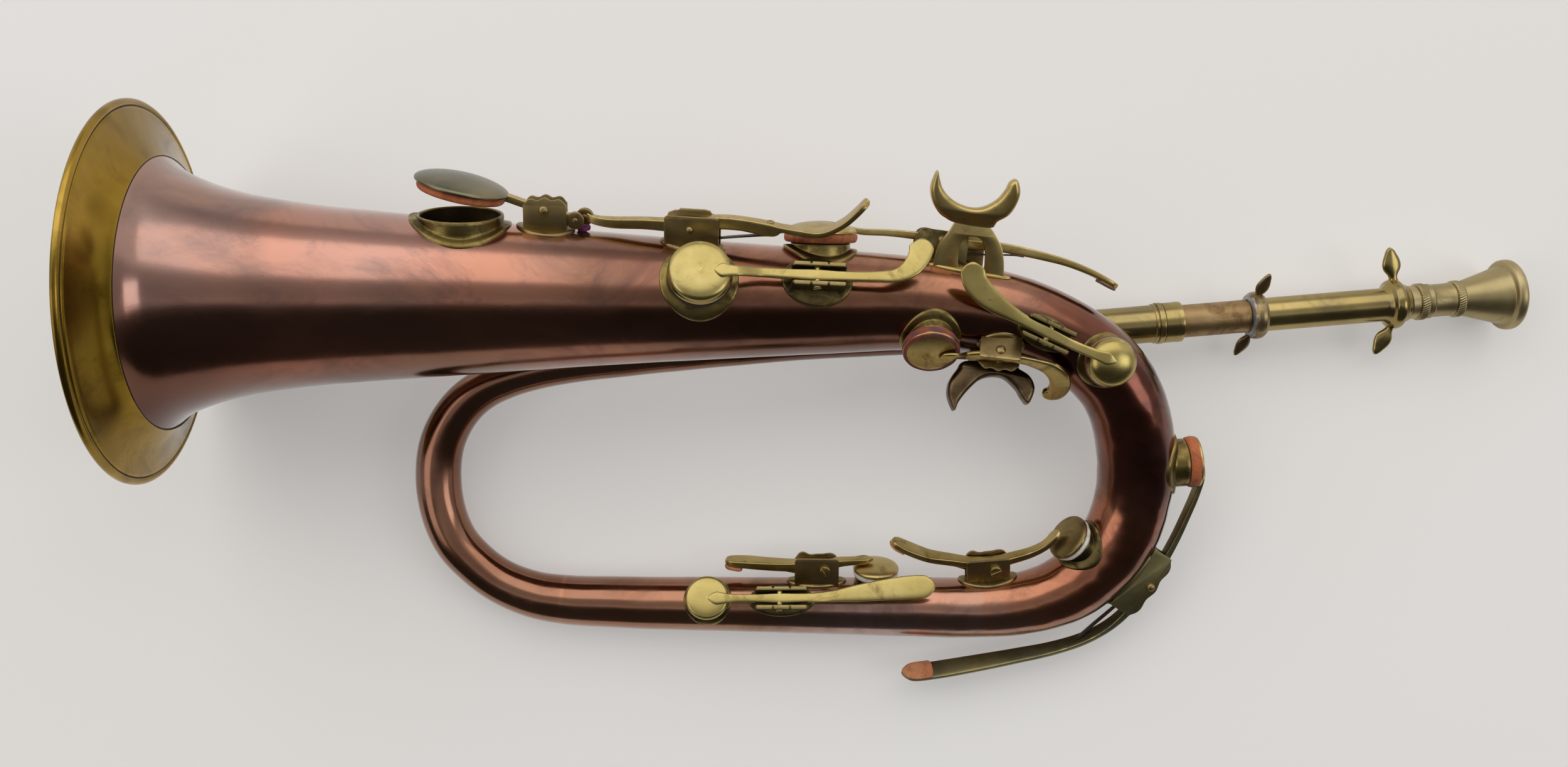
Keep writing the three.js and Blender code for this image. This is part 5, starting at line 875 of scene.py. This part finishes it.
def lever(k):
    mode, rows = LEVERS[k]
    if k == "k5":
        rows = [list(r) for r in rows]
        for r, (gw, gt) in zip(rows[-5:], ((1.2, 1.35), (1.3, 1.7), (1.4, 2.0), (1.5, 2.1), (1.6, 2.0))):
            r[3], r[4] = r[3] * gw, r[4] * gt
    s = SADDLES[k]
    ref = s["w"] if mode == "side" else s["n"]
    body = {"k1a": "bell_key_cup_arm", "k1b": "bell_key_touch_arm"}.get(k, NAMES.get(k, "") + "_arm")
    m = Mesh()
    # the lever runs on under the spear point that is soldered to the cup
    m.add(*sweep(rows, ref, mode, tip0=0.7, tip1=TIP_AT.get(k, 1.0), power=4.0 if mode == "top" else 7.0, n=36))
    m.add(*hub(s, 2.6 if mode == "side" else 1.38))
    m.make({"k1a": "bell_key_cup", "k1b": "bell_key_touch"}.get(k, NAMES.get(k, "")) + "_lever_forged", LEVER_MAT[k], body,
           [{"k1a": "bell_key_cup", "k1b": "bell_key_touch"}.get(k, NAMES.get(k, "")) + "_lever"], "key_brass", sharp=46)
    return body


def spring(k, body, reach=0.5, width=2.8, screw=False):
    """Leaf spring from the lever's underside back to the saddle's foot."""
    mode, rows = LEVERS[k]
    s = SADDLES[k]
    P, n, u, w = A(s["P"]), unit(s["n"]), unit(s["u"]), unit(s["w"])
    L = catmull(rows, 0.8)
    i = int(np.argmin(np.linalg.norm(L[:, :3] - P, axis=1)))
    tail = L[i:]
    d = np.r_[0, np.cumsum(np.linalg.norm(np.diff(tail[:, :3], axis=0), axis=1))]
    j = int(np.argmin(abs(d - d[-1] * reach)))
    at = tail[j, :3]
    t = unit(tail[min(j + 2, len(tail) - 1), :3] - tail[max(j - 2, 0), :3])
    up = n - t * (n @ t)
    up = unit(up)
    half = tail[j, 4] / 2
    a = at - up * (half + 0.12)
    q = unit(at - P - n * ((at - P) @ n) - w * ((at - P) @ w))
    start = a + t * 3.0
    j2 = int(np.argmin(np.linalg.norm(tail[:, :3] - (at + t * 3), axis=1)))
    start = tail[j2, :3] - up * (tail[j2, 4] / 2 + 0.12)
    deep = np.linalg.norm(P - A(s["C"])) - s["R"]
    end = P + q * 4.0 - n * (deep - FOOT_TOP - (2.0 if k == "k6" else 0.95))
    mid = (a * 0.45 + end * 0.55) - n * 0.9 + q * 1.0
    pts = [[*start, width * 0.9, 0.7], [*a, width, 0.7], [*(a * 0.7 + end * 0.3 + n * 0.25), width, 0.66], [*(a * 0.35 + end * 0.65 + n * 0.35), width * 0.95, 0.62], [*end, width * 0.8, 0.55]]
    v, f = sweep(pts, w if mode == "side" else n, mode, n=16, power=5, tip0=0.5, tip1=0.6, step=1.0)
    o = make(body.replace("_arm", "") + "_leaf_spring", v, f, STEEL, body, [], None, sharp=40)
    if screw:
        hv, hf = revolve(at + t * 1.2 + up * (half - 0.1), up, [[0, 0], [0, 1.5], [0.35, 1.45], [0.7, 1.05], [0.85, 0.5], [0.9, 0]], n=28)
        make(body.replace("_arm", "") + "_spring_screw", hv, hf, DULL, body)
    return o


def tip_patch(k, body, mat, length, name, side=-1, thick=0.9, over=0.25, wrap=1.0):
    """Leather or cork glued under (or over) the end of a touch."""
    mode, rows = LEVERS[k]
    s = SADDLES[k]
    ref = unit(s["w"] if mode == "side" else s["n"])
    L = catmull(rows, 0.7)
    d = np.r_[0, np.cumsum(np.linalg.norm(np.diff(L[:, :3], axis=0), axis=1))]
    keep = L[d > d[-1] - length - 0.4]
    T = np.gradient(keep[:, :3], axis=0)
    T /= np.linalg.norm(T, axis=1)[:, None]
    out = []
    for p, t in zip(keep, T):
        if mode == "side":
            uu, ss = unit(np.cross(t, ref)), ref
        else:
            ss = unit(np.cross(ref, t)); uu = np.cross(t, ss)
        tilt = p[5] if len(p) > 5 else 0.0
        fi = math.radians(tilt)
        uu = uu * math.cos(fi) - ss * math.sin(fi)
        if uu @ unit(s["n"]) < 0:
            uu = -uu
        out.append([*(p[:3] + uu * side * (p[4] / 2 + thick / 2 - over)), p[3] * wrap + 0.25, thick, tilt])
    v, f = sweep(out, ref, mode, n=26, power=3.2, tip0=1.4, tip1=min(4.0, length * 0.45), step=0.7)
    v = v + np.array([noise.noise(Vector(p * 0.9)) for p in v])[:, None] * unit(s["n"]) * 0.12
    return make(name, v, f, mat, body, [], None, sharp=60)


FOOT_TOP = 1.05
for k in LEVERS:
    body = lever(k)
    if k in ("k1b", "k2", "k3", "k4", "k6", "k7", "k8", "k9"):
        spring(k, body, reach=dict(k1b=0.40, k6=0.34, k2=0.45, k4=0.42).get(k, 0.42), screw=(k in ("k6", "k1b")))
tip_patch("k6", "key_6_arm", TIP, 14, "key_6_touch_leather", side=-1, thick=1.5)
tip_patch("k7", "key_7_arm", TIP, 7.5, "key_7_touch_leather", side=-1, thick=0.95)
tip_patch("k8", "key_8_arm", TIP, 8, "key_8_touch_cork", side=-1, thick=2.2)
tip_patch("k3", "key_3_arm", CORK, 9, "key_3_touch_cork", side=-1, thick=1.3)

# knuckle of the bell key: one lug on each lever, side by side
for nm, body, c, w, r, half in (("bell_key_cup_lug", "bell_key_cup_arm", A([-82.3, 64.3, 70.9]), SADDLES["k1a"]["w"], 3.5, 0.95),
                                ("bell_key_touch_lug", "bell_key_touch_arm", A([-79.0, 66.3, 67.6]), SADDLES["k1b"]["w"], 3.5, 1.0)):
    v, f = revolve(c, w, [[-half, 0], [-half, r - 0.35], [-half + 0.1, r - 0.1], [-half + 0.35, r], [half - 0.35, r], [half - 0.1, r - 0.1], [half, r - 0.35], [half, 1.2], [half + 0.25, 1.1], [half + 0.4, 0.8], [half + 0.45, 0]], n=48)
    make(nm, v, f, DULL, body, [], "key_brass", sharp=50)
v, f = revolve([-79.6, 61.9, 66.8], [1, 0.1, 0], [[-2.6, 0], [-2.3, 0.9], [-1.2, 1.5], [0, 1.65], [1.4, 1.4], [2.4, 0.9], [2.8, 0]], n=26,
               ripple=lambda s, t: 0.22 * np.sin(5 * t + 3 * s) + 0.14 * np.sin(9 * t - 5 * s))
make("bell_key_felt", v, f, FELT, "bell_key_touch_arm")

# ---------------------------------------------------------------- saddles and pivot screws
SAD_MAT = {k: DULL for k in SADDLES}
SAD_MAT["k6"] = GREEN
SAD_MAT["k2"] = SAD_MAT["k4"] = SAD_MAT["k9"] = DARKBRASS
# painted shade: the key 3 saddle, seen through the crescent's arch, gets the dark brass
SAD_MAT["k3"] = DARKBRASS
STYLE = dict(k1a=("crest", "crest"), k1b=("plain", "step"), k2=("plain", "plain"), k3=("scroll", "scroll"), k4=("plain", "plain"), k5=("plain", "crest"),
             k6=("crest", "crest"), k7=("plain", "scroll"), k8=("plain", "scroll"), k9=("plain", "plain"))


def top_line(style, hl, ct):
    """Top edge of a cheek from +hl to -hl, along u."""
    if style == "crest":
        x = np.linspace(1, -1, 41)
        y = ct - 1.0 + 0.42 * np.cos(x * 3.1 * math.pi) + 0.7 * np.exp(-(x / 0.45) ** 2) - 1.5 * np.exp(-((abs(x) - 1) / 0.13) ** 2)
        return [[a * hl, b] for a, b in zip(x, y)]
    if style == "scroll":
        x = np.linspace(1, -1, 41)
        y = ct - 1.7 + 1.1 * np.exp(-((x - 0.6) / 0.26) ** 2) + 0.9 * np.exp(-((x + 0.45) / 0.3) ** 2) + 0.25 * np.cos(9 * x) - 1.6 * np.exp(-((abs(x) - 1) / 0.1) ** 2)
        return [[a * hl, b] for a, b in zip(x, y)]
    if style == "step":
        return [[hl, ct - 2.2], [hl * 0.92, ct - 1.0], [hl * 0.66, ct - 0.4], [hl * 0.6, ct + 0.7], [hl * 0.42, ct + 1.2], [-hl * 0.5, ct + 1.2], [-hl * 0.58, ct + 0.5], [-hl * 0.72, ct + 0.3], [-hl * 0.95, ct - 0.7], [-hl, ct - 2.0]]
    c = min(1.4, hl * 0.16)
    arc = lambda cx, sg: [[sg * (hl - c) + sg * c * math.cos(a), ct - c + c * math.sin(a)] for a in (np.linspace(0, math.pi / 2, 6) if sg > 0 else np.linspace(math.pi / 2, 0, 6))]
    return arc(0, 1) + arc(0, -1)


def saddle(k):
    s = dict(SADDLES[k])
    if k == "k9":
        s["a"], s["b"] = 14.4, 6.9
    P, C, n, u, w = A(s["P"]), A(s["C"]), unit(s["n"]), unit(s["u"]), unit(s["w"])
    w = unit(w - n * (w @ n))
    u = unit(u - n * (u @ n) - w * (u @ w))
    sh, hl, a, b = s["sh"], s["hl"], s["a"], s["b"]
    deep = float((P - C) @ n)
    du = float((P - C) @ u)
    dw = float((P - C) @ w)
    m = Mesh()
    # foot plate that follows the tube
    N = 72
    th = np.linspace(0, TAU, N, endpoint=False)
    cu, cw = du + sh, dw

    def foot(rho, off):
        x, y = cu + rho * a * np.cos(th), cw + rho * b * np.sin(th)
        return C + np.outer(x, u) + np.outer(y, w) + np.outer(rise(C, n, u, w, x, y, off), n)
    e = 0.5 / min(a, b)
    R = [foot(x, FOOT_TOP) for x in (0.04, 0.3, 0.55, 0.78, 1 - 2 * e)] + [foot(1 - 0.9 * e, FOOT_TOP - 0.05), foot(1 - 0.3 * e, FOOT_TOP - 0.22), foot(1, FOOT_TOP - 0.55), foot(1, 0.1), foot(0.99, -0.3)] + [foot(x, -0.4) for x in (0.7, 0.35, 0.04)]
    m.add(*rings_mesh(R))
    for side in (1, -1):
        style = STYLE[k][0 if side > 0 else 1]
        if k in ("k2", "k4", "k9"):
            style = "plain"
        top = top_line(style, hl, s["ct"])
        xs = np.linspace(-hl, hl, 13)
        zw = side * (3.05 + 4.2) / 2
        base = rise(C, n, u, w, xs + cu, np.full(13, dw + zw), 0.2) - deep
        bottom = [[x, min(z, s["ct"] - 2)] for x, z in zip(xs, base)]
        # painted shade, partly the real cheek: the far cheek of the key 3 saddle is drawn 1.75 times longer on one
        # side, in dark brass, to fill the shaded space behind the crescent's arch
        if k == "k3" and side * w[2] < 0:
            far = 1.0 if u[0] > 0 else -1.0
            top = [[x * 1.75 if x * far > 0 else x, y] for x, y in top]
            xs = np.where(xs * far > 0, xs * 1.75, xs)
            base = rise(C, n, u, w, xs + cu, np.full(13, dw + zw), 0.2) - deep
            bottom = [[x, min(z, s["ct"] - 2)] for x, z in zip(xs, base)]
        out = top + bottom
        o = P + u * sh
        m.add(*plate(out, o, u, n, w, side * 3.05 if side > 0 else -4.2, 4.2 if side > 0 else -3.05, bevel=0.22, seg=2))
        # knuckle blocks along the top of the cheek, as folded from the sheet
        if k in ("k2", "k4", "k9"):
            for x0, x1 in ((-0.92, -0.36), (-0.27, 0.27), (0.36, 0.92)):
                z0, z1 = s["ct"] - 0.9, s["ct"] + 0.15
                q = [[x0 * hl, z0 - 1.0], [x1 * hl, z0 - 1.0], [x1 * hl, z1], [x0 * hl, z1]]
                lo, hi = (3.15, 4.75) if side > 0 else (-4.75, -3.15)
                m.add(*plate(q, o, u, n, w, lo, hi, bevel=0.22, seg=2))
    node = NODE[k]
    m.make(node + "_saddle_folded", SAD_MAT[k], BODY, [node + "_saddle"], "saddle_brass", sharp=40)
    # pivot screw
    h = s["head"]
    ax = w * h
    v, f = revolve(P, ax, [[-4.95, 0], [-4.95, 0.9], [-4.75, 1.15], [-4.4, 1.2], [4.5, 1.2], [4.5, 0]], n=32)
    pin = Mesh().add(v, f)
    slotted = k in ("k7", "k8", "k2", "k4", "k9")
    r = dict(k7=2.5, k8=2.3, k2=1.7, k4=1.7, k9=1.7, k1a=2.0, k1b=1.5, k5=2.0, k6=1.8, k3=1.8)[k]
    z0 = 4.22
    if slotted:
        pin.add(*revolve(P + ax * z0, ax, fillet([[0, 0], [0, r], [0.62, r], [0.62, 0]], 0.15, 3), n=40))
        t1, t2 = basis(ax)[1:]
        ang = 0.5
        e1, e2 = t1 * math.cos(ang) + t2 * math.sin(ang), -t1 * math.sin(ang) + t2 * math.cos(ang)
        for sg in (1, -1):
            g0 = 0.34
            a0 = math.asin(g0 / r)
            arc = [[r * 0.985 * math.cos(x), sg * r * 0.985 * math.sin(x)] for x in np.linspace(a0, math.pi - a0, 20)]
            pin.add(*plate(arc, P + ax * z0, e1, e2, ax, 0.5, 1.38, bevel=0.25, seg=3))
    else:
        pin.add(*revolve(P + ax * z0, ax, [[0, 0], [0, r], [0.3, r], [0.6, r * 0.94], [0.95, r * 0.74], [1.2, r * 0.42], [1.3, 0.0]], n=40))
    pin.make(node + "_pivot_screw_head", DULL if k not in ("k7", "k8") else LEVER, BODY, [node + "_pivot_screw"], "saddle_brass", sharp=40)


for k in SADDLES:
    saddle(k)

# ---------------------------------------------------------------- finger crescents
for nm, c in CRESCENTS.items():
    o, t, n, w = A(c["O"]), unit(c["T"]), unit(c["n"]), unit(c["w"])
    w = unit(w - n * (w @ n))
    lo, hi = (-3.2, 3.4) if nm == "upper" else (-3.6, 3.6)
    m = Mesh()
    v, f = plate(closed_curve(c["horns"], 0.8), o, t, n, w, lo, hi, bevel=2.0, seg=5,
                 share=(lambda x, y: np.where((abs(x + 5.4) < 8.5), np.clip((y - 36.5) / 5.0, 0.05, 1), 1.0)) if nm == "upper" else (lambda x, y: np.where(abs(x - 3.3) < 10.5, np.clip((-23.0 - y) / 4.0, 0.05, 1), 1.0)))
    up = (v - o) @ n
    side = (v - o) @ w
    x = np.clip((up - 35.2) / 6.0, 0, 1) if nm == "upper" else np.clip((-20.5 - up) / 5.0, 0, 1)
    x = x * x * (3 - 2 * x)
    v = v + np.outer(side * (0.38 + 0.62 * x) - side, w)
    m.add(v, f)
    body = ccw(c["body"])
    rows = A(c["body"])
    fine = catmull(np.c_[rows[:5], np.zeros(5)], 0.8)[:, :2]
    rest = catmull(np.c_[rows[5:], np.zeros(len(rows) - 5)], 0.8)[:, :2] if len(rows) > 6 else rows[5:]
    if nm == "upper":
        # the stem is a flat plate with an arch cut through it, so it is outlined in one loop
        arch = catmull(np.c_[A(c["arch"]), np.zeros(len(c["arch"]))], 0.8)[:, :2]
        arch[:, 0] = 3.2 + (arch[:, 0] - 3.2) * 0.84
        left = np.vstack([fine[:-1], [[-18.6, 13.2]], [[arch[0, 0] - 0.4, 11.0]]])
        loop = np.vstack([left, arch, [[arch[-1, 0] + 0.4, 12.2]], [[10.4, 14.4]], rest])
        m.add(*plate(loop, o, t, n, w, -1.2, 1.2, bevel=0.3, seg=2))
    else:
        m.add(*plate(np.vstack([fine, rest]), o, t, n, w, -1.2, 1.2, bevel=0.3, seg=2))
    N = 64
    th = np.linspace(0, TAU, N, endpoint=False)
    fa, fb = (17.0, 2.4) if nm == "upper" else (10.0, 3.2)
    C = A(c["C"])
    off = o - C
    cu, cw = float(off @ t), float(off @ w)

    def foot(rho, z):
        x, y = cu + rho * fa * np.cos(th) - (3.5 if nm == "upper" else -2.5), cw + rho * fb * np.sin(th)
        return C + np.outer(x, t) + np.outer(y, w) + np.outer(rise(C, n, t, w, x, y, z), n)
    if nm == "upper":
        R = [foot(x, 1.05) for x in (0.04, 0.4, 0.75)] + [foot(0.92, 0.95), foot(1, 0.55), foot(1, 0.1), foot(0.98, -0.3)] + [foot(x, -0.4) for x in (0.6, 0.04)]
        m.add(*rings_mesh(R))
    m.make(nm + "_finger_crescent_cast", LEVER if nm == "upper" else BRONZE, BODY, [nm + "_finger_crescent"], "key_brass", sharp=42)

# ---------------------------------------------------------------- mouthpipe, slide, mouthpiece
p, d = A(MP0), unit(MPX)
rec = dict(SL, ring0=SL["ring0"] - 2.2, ring1=SL["ring1"] - 2.2, mouth=SL["mouth"] - 2.2)
v, f = revolve(p, d, np.vstack([fillet([[SL["r0"], 7.5], [SL["r0"], 8.2], [SL["ferrule"], 8.2], [SL["ferrule"] + 0.25, 8.62], [rec["ring0"] - 0.5, 8.62], [rec["ring0"] - 0.4, 8.3], [rec["ring0"] - 0.05, 8.3], [rec["ring0"], 9.0], [rec["ring1"], 9.0], [rec["ring1"] + 0.05, 8.3], [rec["ring1"] + 0.4, 8.3], [rec["ring1"] + 0.5, 8.72],
                                 [rec["mouth"] - 2.2, 8.72], [rec["mouth"] - 2.1, 8.85], [rec["mouth"], 8.8], [rec["mouth"], 7.5]], 0.16, 3, closed=True)]), n=96, closed=True)
make("receiver_turned", v, f, TUBE, BODY, ["receiver"], "slide_brass", sharp=50)
v, f = revolve(p, d, fillet([[SL["inner0"], 6.4], [SL["inner0"], 7.15], [SL["collar1"] - 0.7, 7.15], [SL["collar1"] - 0.7, 6.4]], 0.2, 3, closed=True), n=80, closed=True)
make("slide_inner_tube", v, f, INNER, "tuning_slide", ["slide_tube"], "slide_brass", sharp=50)


def leaf(s0, direction, k, kw):
    c, t = p + d * s0, unit(direction)
    face = unit(np.cross(t, d))
    rows = [[8.0, 7.4, 4.8], [9.0, 5.8, 4.3], [10.4, 4.1, 3.7], [11.8, 3.5, 3.3], [13.2, 4.6, 3.3], [15.0, 7.0, 3.4], [17.0, 8.0, 3.4], [19.2, 7.4, 3.2], [21.4, 5.6, 2.9], [23.4, 3.8, 2.6], [25.0, 2.2, 2.0]]
    root = c + unit(t - d * (t @ d)) * 8.2
    pts = [[*(root + t * (r * k - 8.2)), wd * kw, th * kw] for r, wd, th in rows if r * k > 7.5]
    return sweep(pts, face, "top", n=36, power=2.05, tip0=0.4, tip1=1.8, step=0.6, crown=0.0)


m = Mesh()
s0 = SL["collar1"]
m.add(*revolve(p, d, fillet([[s0, 7.5], [s0, 9.2], [s0 + 0.7, 9.5], [s0 + 1.5, 10.15], [s0 + 3.1, 10.4], [s0 + 4.7, 10.15], [s0 + 5.5, 9.5], [s0 + 6.2, 9.0], [s0 + 6.2, 7.5]], 0.3, 3, closed=True), n=88, closed=True))
m.add(*leaf(s0 + 2.2, [0.34, 0.80, 0.45], 0.83, 0.72)).add(*leaf(s0 + 2.2, [-0.44, -0.80, -0.42], 0.83, 0.72))
m.make("lower_pull_collar_cast", COLLAR, "tuning_slide", ["lower_pull_collar"], "slide_brass", sharp=50)
v, f = revolve(p, d, [[s0 - 0.55, 7.2], [s0 - 0.4, 8.3], [s0, 9.1], [s0 + 0.5, 9.45], [s0 + 0.9, 9.5], [s0 + 0.9, 7.2]], n=88, closed=True,
               ripple=lambda s, t: 0.16 * np.sin(7 * t + s) + 0.12 * np.sin(13 * t + 2))
make("lower_collar_solder", v, f, SOLDER, "tuning_slide")
m = Mesh()
s2, c2 = SL["collar1"] + 6.2 + GAP, SL["collar2"]
m.add(*revolve(p, d, fillet([[s2, 6.45], [s2, 7.3], [c2 - 4.2, 7.3], [c2 - 3.6, 7.7], [c2 - 2.2, 8.6], [c2 - 1.4, 10.1], [c2 - 0.2, 10.75], [c2 + 1.2, 10.9], [c2 + 2.4, 10.6], [c2 + 3.4, 9.6], [c2 + 4.2, 8.7], [c2 + 5.4, 8.25],
                             [SL["sleeveEnd"] - 0.3, 8.1], [SL["sleeveEnd"], 7.9], [SL["sleeveEnd"], 6.45]], 0.35, 3, closed=True), n=96, closed=True))
m.add(*leaf(c2 + 1.2, PULL2, 1.0, 1.0)).add(*leaf(c2 + 1.2, [-0.42, -0.88, -0.2], 0.96, 0.95))
m.make("slide_sleeve_cast", TUBE, "tuning_slide", ["slide_sleeve"], "slide_brass", sharp=50)

s = SL["shank"]
out = [[s - 20, 4.3], [s - 20, 5.5], [s - GAP, 6.05], [s + GAP, 6.1], [s + GAP, 7.1], [s + 0.5, 7.25], [SL["b1"] - 0.5, 7.25], [SL["b1"] - 0.3, 7.0], [SL["b1"], 7.0], [SL["b2"], 7.0], [SL["b2"] + 0.3, 7.35], [SL["b2"] + 0.8, 7.5], [SL["b2"] + 2.2, 7.55],
       [SL["b2"] + 2.6, 7.2], [SL["b2"] + 3.0, 7.1], [SL["b3"] - 3.0, 7.15], [SL["b3"] - 0.6, 7.3], [SL["b3"] - 0.3, 7.0], [SL["b4"], 7.0], [SL["b4"] + 0.5, 7.5]]
cone = catmull([[SL["b4"] + 0.5, 7.5, 0], [SL["b4"] + 3, 8.2, 0], [SL["cup1"] - 3, 9.3, 0], [SL["cup1"], 10.2, 0], [SL["cup1"] + 4, 11.5, 0], [SL["cup2"], 12.9, 0], [SL["rim0"], 13.3, 0]], 0.7)[1:, :2].tolist()
rim = [[SL["rim0"] + 0.12, 14.0], [SL["rim0"] + 0.4, 14.7], [SL["rim0"] + 0.9, 15.1], [SL["rim0"] + 1.8, 15.28], [SL["rim0"] + 3.0, 15.3], [SL["rim0"] + 3.8, 15.1], [SL["rim0"] + 4.4, 14.6], [SL["rim0"] + 4.75, 13.9],
       [SL["rim0"] + 4.8, 13.4], [SL["rim0"] + 4.6, 12.8], [SL["rim0"] + 4.0, 12.2]]
inside = catmull([[SL["rim0"] + 4.0, 12.2, 0], [SL["rim0"] + 1.5, 11.5, 0], [SL["cup2"] - 3, 9.8, 0], [SL["cup1"] + 1, 6.8, 0], [SL["cup1"] - 4, 3.8, 0], [SL["b4"] + 2, 2.2, 0], [SL["b3"], 2.2, 0], [s + 6, 2.6, 0], [s - 20, 4.3, 0]], 1.2)[1:-1, :2].tolist()
v, f = revolve(p, d, out + cone + rim + inside, n=104, closed=True)
make("mouthpiece_turned", v, f, MOUTH, "mouthpiece_body", ["mouthpiece"], "mouthpiece_brass", sharp=36)
for i, (x0, x1) in enumerate(((SL["b1"] + 0.1, SL["b2"] - 0.1), (SL["b3"] + 0.1, SL["b4"] - 0.1))):
    prof = [[x0, 6.8]] + [[x0 + (x1 - x0) * t, 8.02 - 0.25 * (abs(2 * t - 1) ** 6)] for t in np.linspace(0, 1, 12)] + [[x1, 6.8]]
    knurl = lambda ss, t, lo=x0, hi=x1: (0.13 * np.sign(np.sin(46 * t + (ss - lo) * 2.2)) * np.abs(np.sin(46 * t + (ss - lo) * 2.2)) ** 0.6 - 0.13) if lo + 0.2 < ss < hi - 0.2 else np.zeros_like(t) - 0.13
    v, f = revolve(p, d, prof, n=368, closed=True, ripple=knurl)
    make("mouthpiece_knurl_%d" % (i + 1), v, f, MOUTH, "mouthpiece_body", [], "mouthpiece_brass", sharp=60)

# ---------------------------------------------------------------- floor, light, camera
fm, ft, fb = clear("paper_floor")
co = ft.nodes.new("ShaderNodeTexCoord").outputs["Object"]
wide = noise_node(ft, 2.2, 2, 0.5, co)
ft.links.new(ramp(ft, wide, [(0.3, (0.60, 0.575, 0.545)), (0.7, (0.60, 0.59, 0.575))]), fb.inputs["Base Color"])
fb.inputs["Emission Color"].default_value = (1.0, 0.975, 0.95, 1)
fb.inputs["Emission Strength"].default_value = 0.27
fb.inputs["Roughness"].default_value = 0.75
me = bpy.data.meshes.new("floor")
me.from_pydata([(-20, -20, -0.0001), (20, -20, -0.0001), (20, 20, -0.0001), (-20, 20, -0.0001)], [], [(0, 1, 2, 3)])
me.materials.append(fm)
floor = bpy.data.objects.new("floor", me)
bpy.context.scene.collection.objects.link(floor)


def area(name, loc, target, sx, sy, power, color=(1, 1, 1)):
    l = bpy.data.lights.new(name, "AREA")
    l.shape, l.size, l.size_y, l.energy, l.color = "RECTANGLE", sx, sy, power, color
    o = bpy.data.objects.new(name, l)
    o.location = loc
    o.rotation_euler = (Vector(target) - Vector(loc)).to_track_quat("-Z", "Y").to_euler()
    bpy.context.scene.collection.objects.link(o)
    return o


area("window", (-0.35, 1.15, 1.3), (-0.05, 0.0, 0.0), 3.6, 1.5, 13.5, (1.0, 0.985, 0.965))
area("right", (1.4, -0.1, 1.3), (0.1, 0.0, 0.0), 0.7, 0.9, 4, (0.93, 0.97, 1.0))
area("left", (-1.4, -0.3, 1.2), (-0.2, 0.0, 0.0), 0.9, 0.9, 3, (1.0, 0.95, 0.92))

world = bpy.data.worlds.new("room")
bpy.context.scene.world = world
world.use_nodes = True
wt = world.node_tree
wt.nodes.clear()
wo = wt.nodes.new("ShaderNodeOutputWorld")
bg = wt.nodes.new("ShaderNodeBackground")
wt.links.new(bg.outputs[0], wo.inputs[0])
sep = wt.nodes.new("ShaderNodeSeparateXYZ")
wt.links.new(wt.nodes.new("ShaderNodeTexCoord").outputs["Generated"], sep.inputs[0])
side = ramp(wt, math_node(wt, "MULTIPLY_ADD", sep.outputs["Y"], 0.5, 0.5), [(0.0, g(0.06)), (0.28, g(0.05)), (0.36, g(0.12)), (0.385, g(0.60)), (0.42, g(0.65)), (0.445, g(0.50)), (0.50, g(0.46)), (0.60, g(0.48)), (0.635, g(0.56)), (0.665, g(0.95)), (0.8, (1.0, 0.98, 0.96)), (0.93, (1.0, 0.98, 0.96)), (0.97, g(0.8)), (1.0, g(0.45))])
wt.links.new(side, bg.inputs["Color"])
bg.inputs["Strength"].default_value = 0.86

cam = bpy.data.cameras.new("camera")
cam.sensor_width, cam.lens, cam.clip_start, cam.clip_end = 36.0, 36.0 * 2038.6 / 2500, 0.01, 50
co = bpy.data.objects.new("camera", cam)
co.location = S([0, 0, 575]).tolist()
bpy.context.scene.collection.objects.link(co)
bpy.context.scene.camera = co

bpy.context.scene.view_settings.view_transform = "Standard"
bpy.context.view_layer.update()
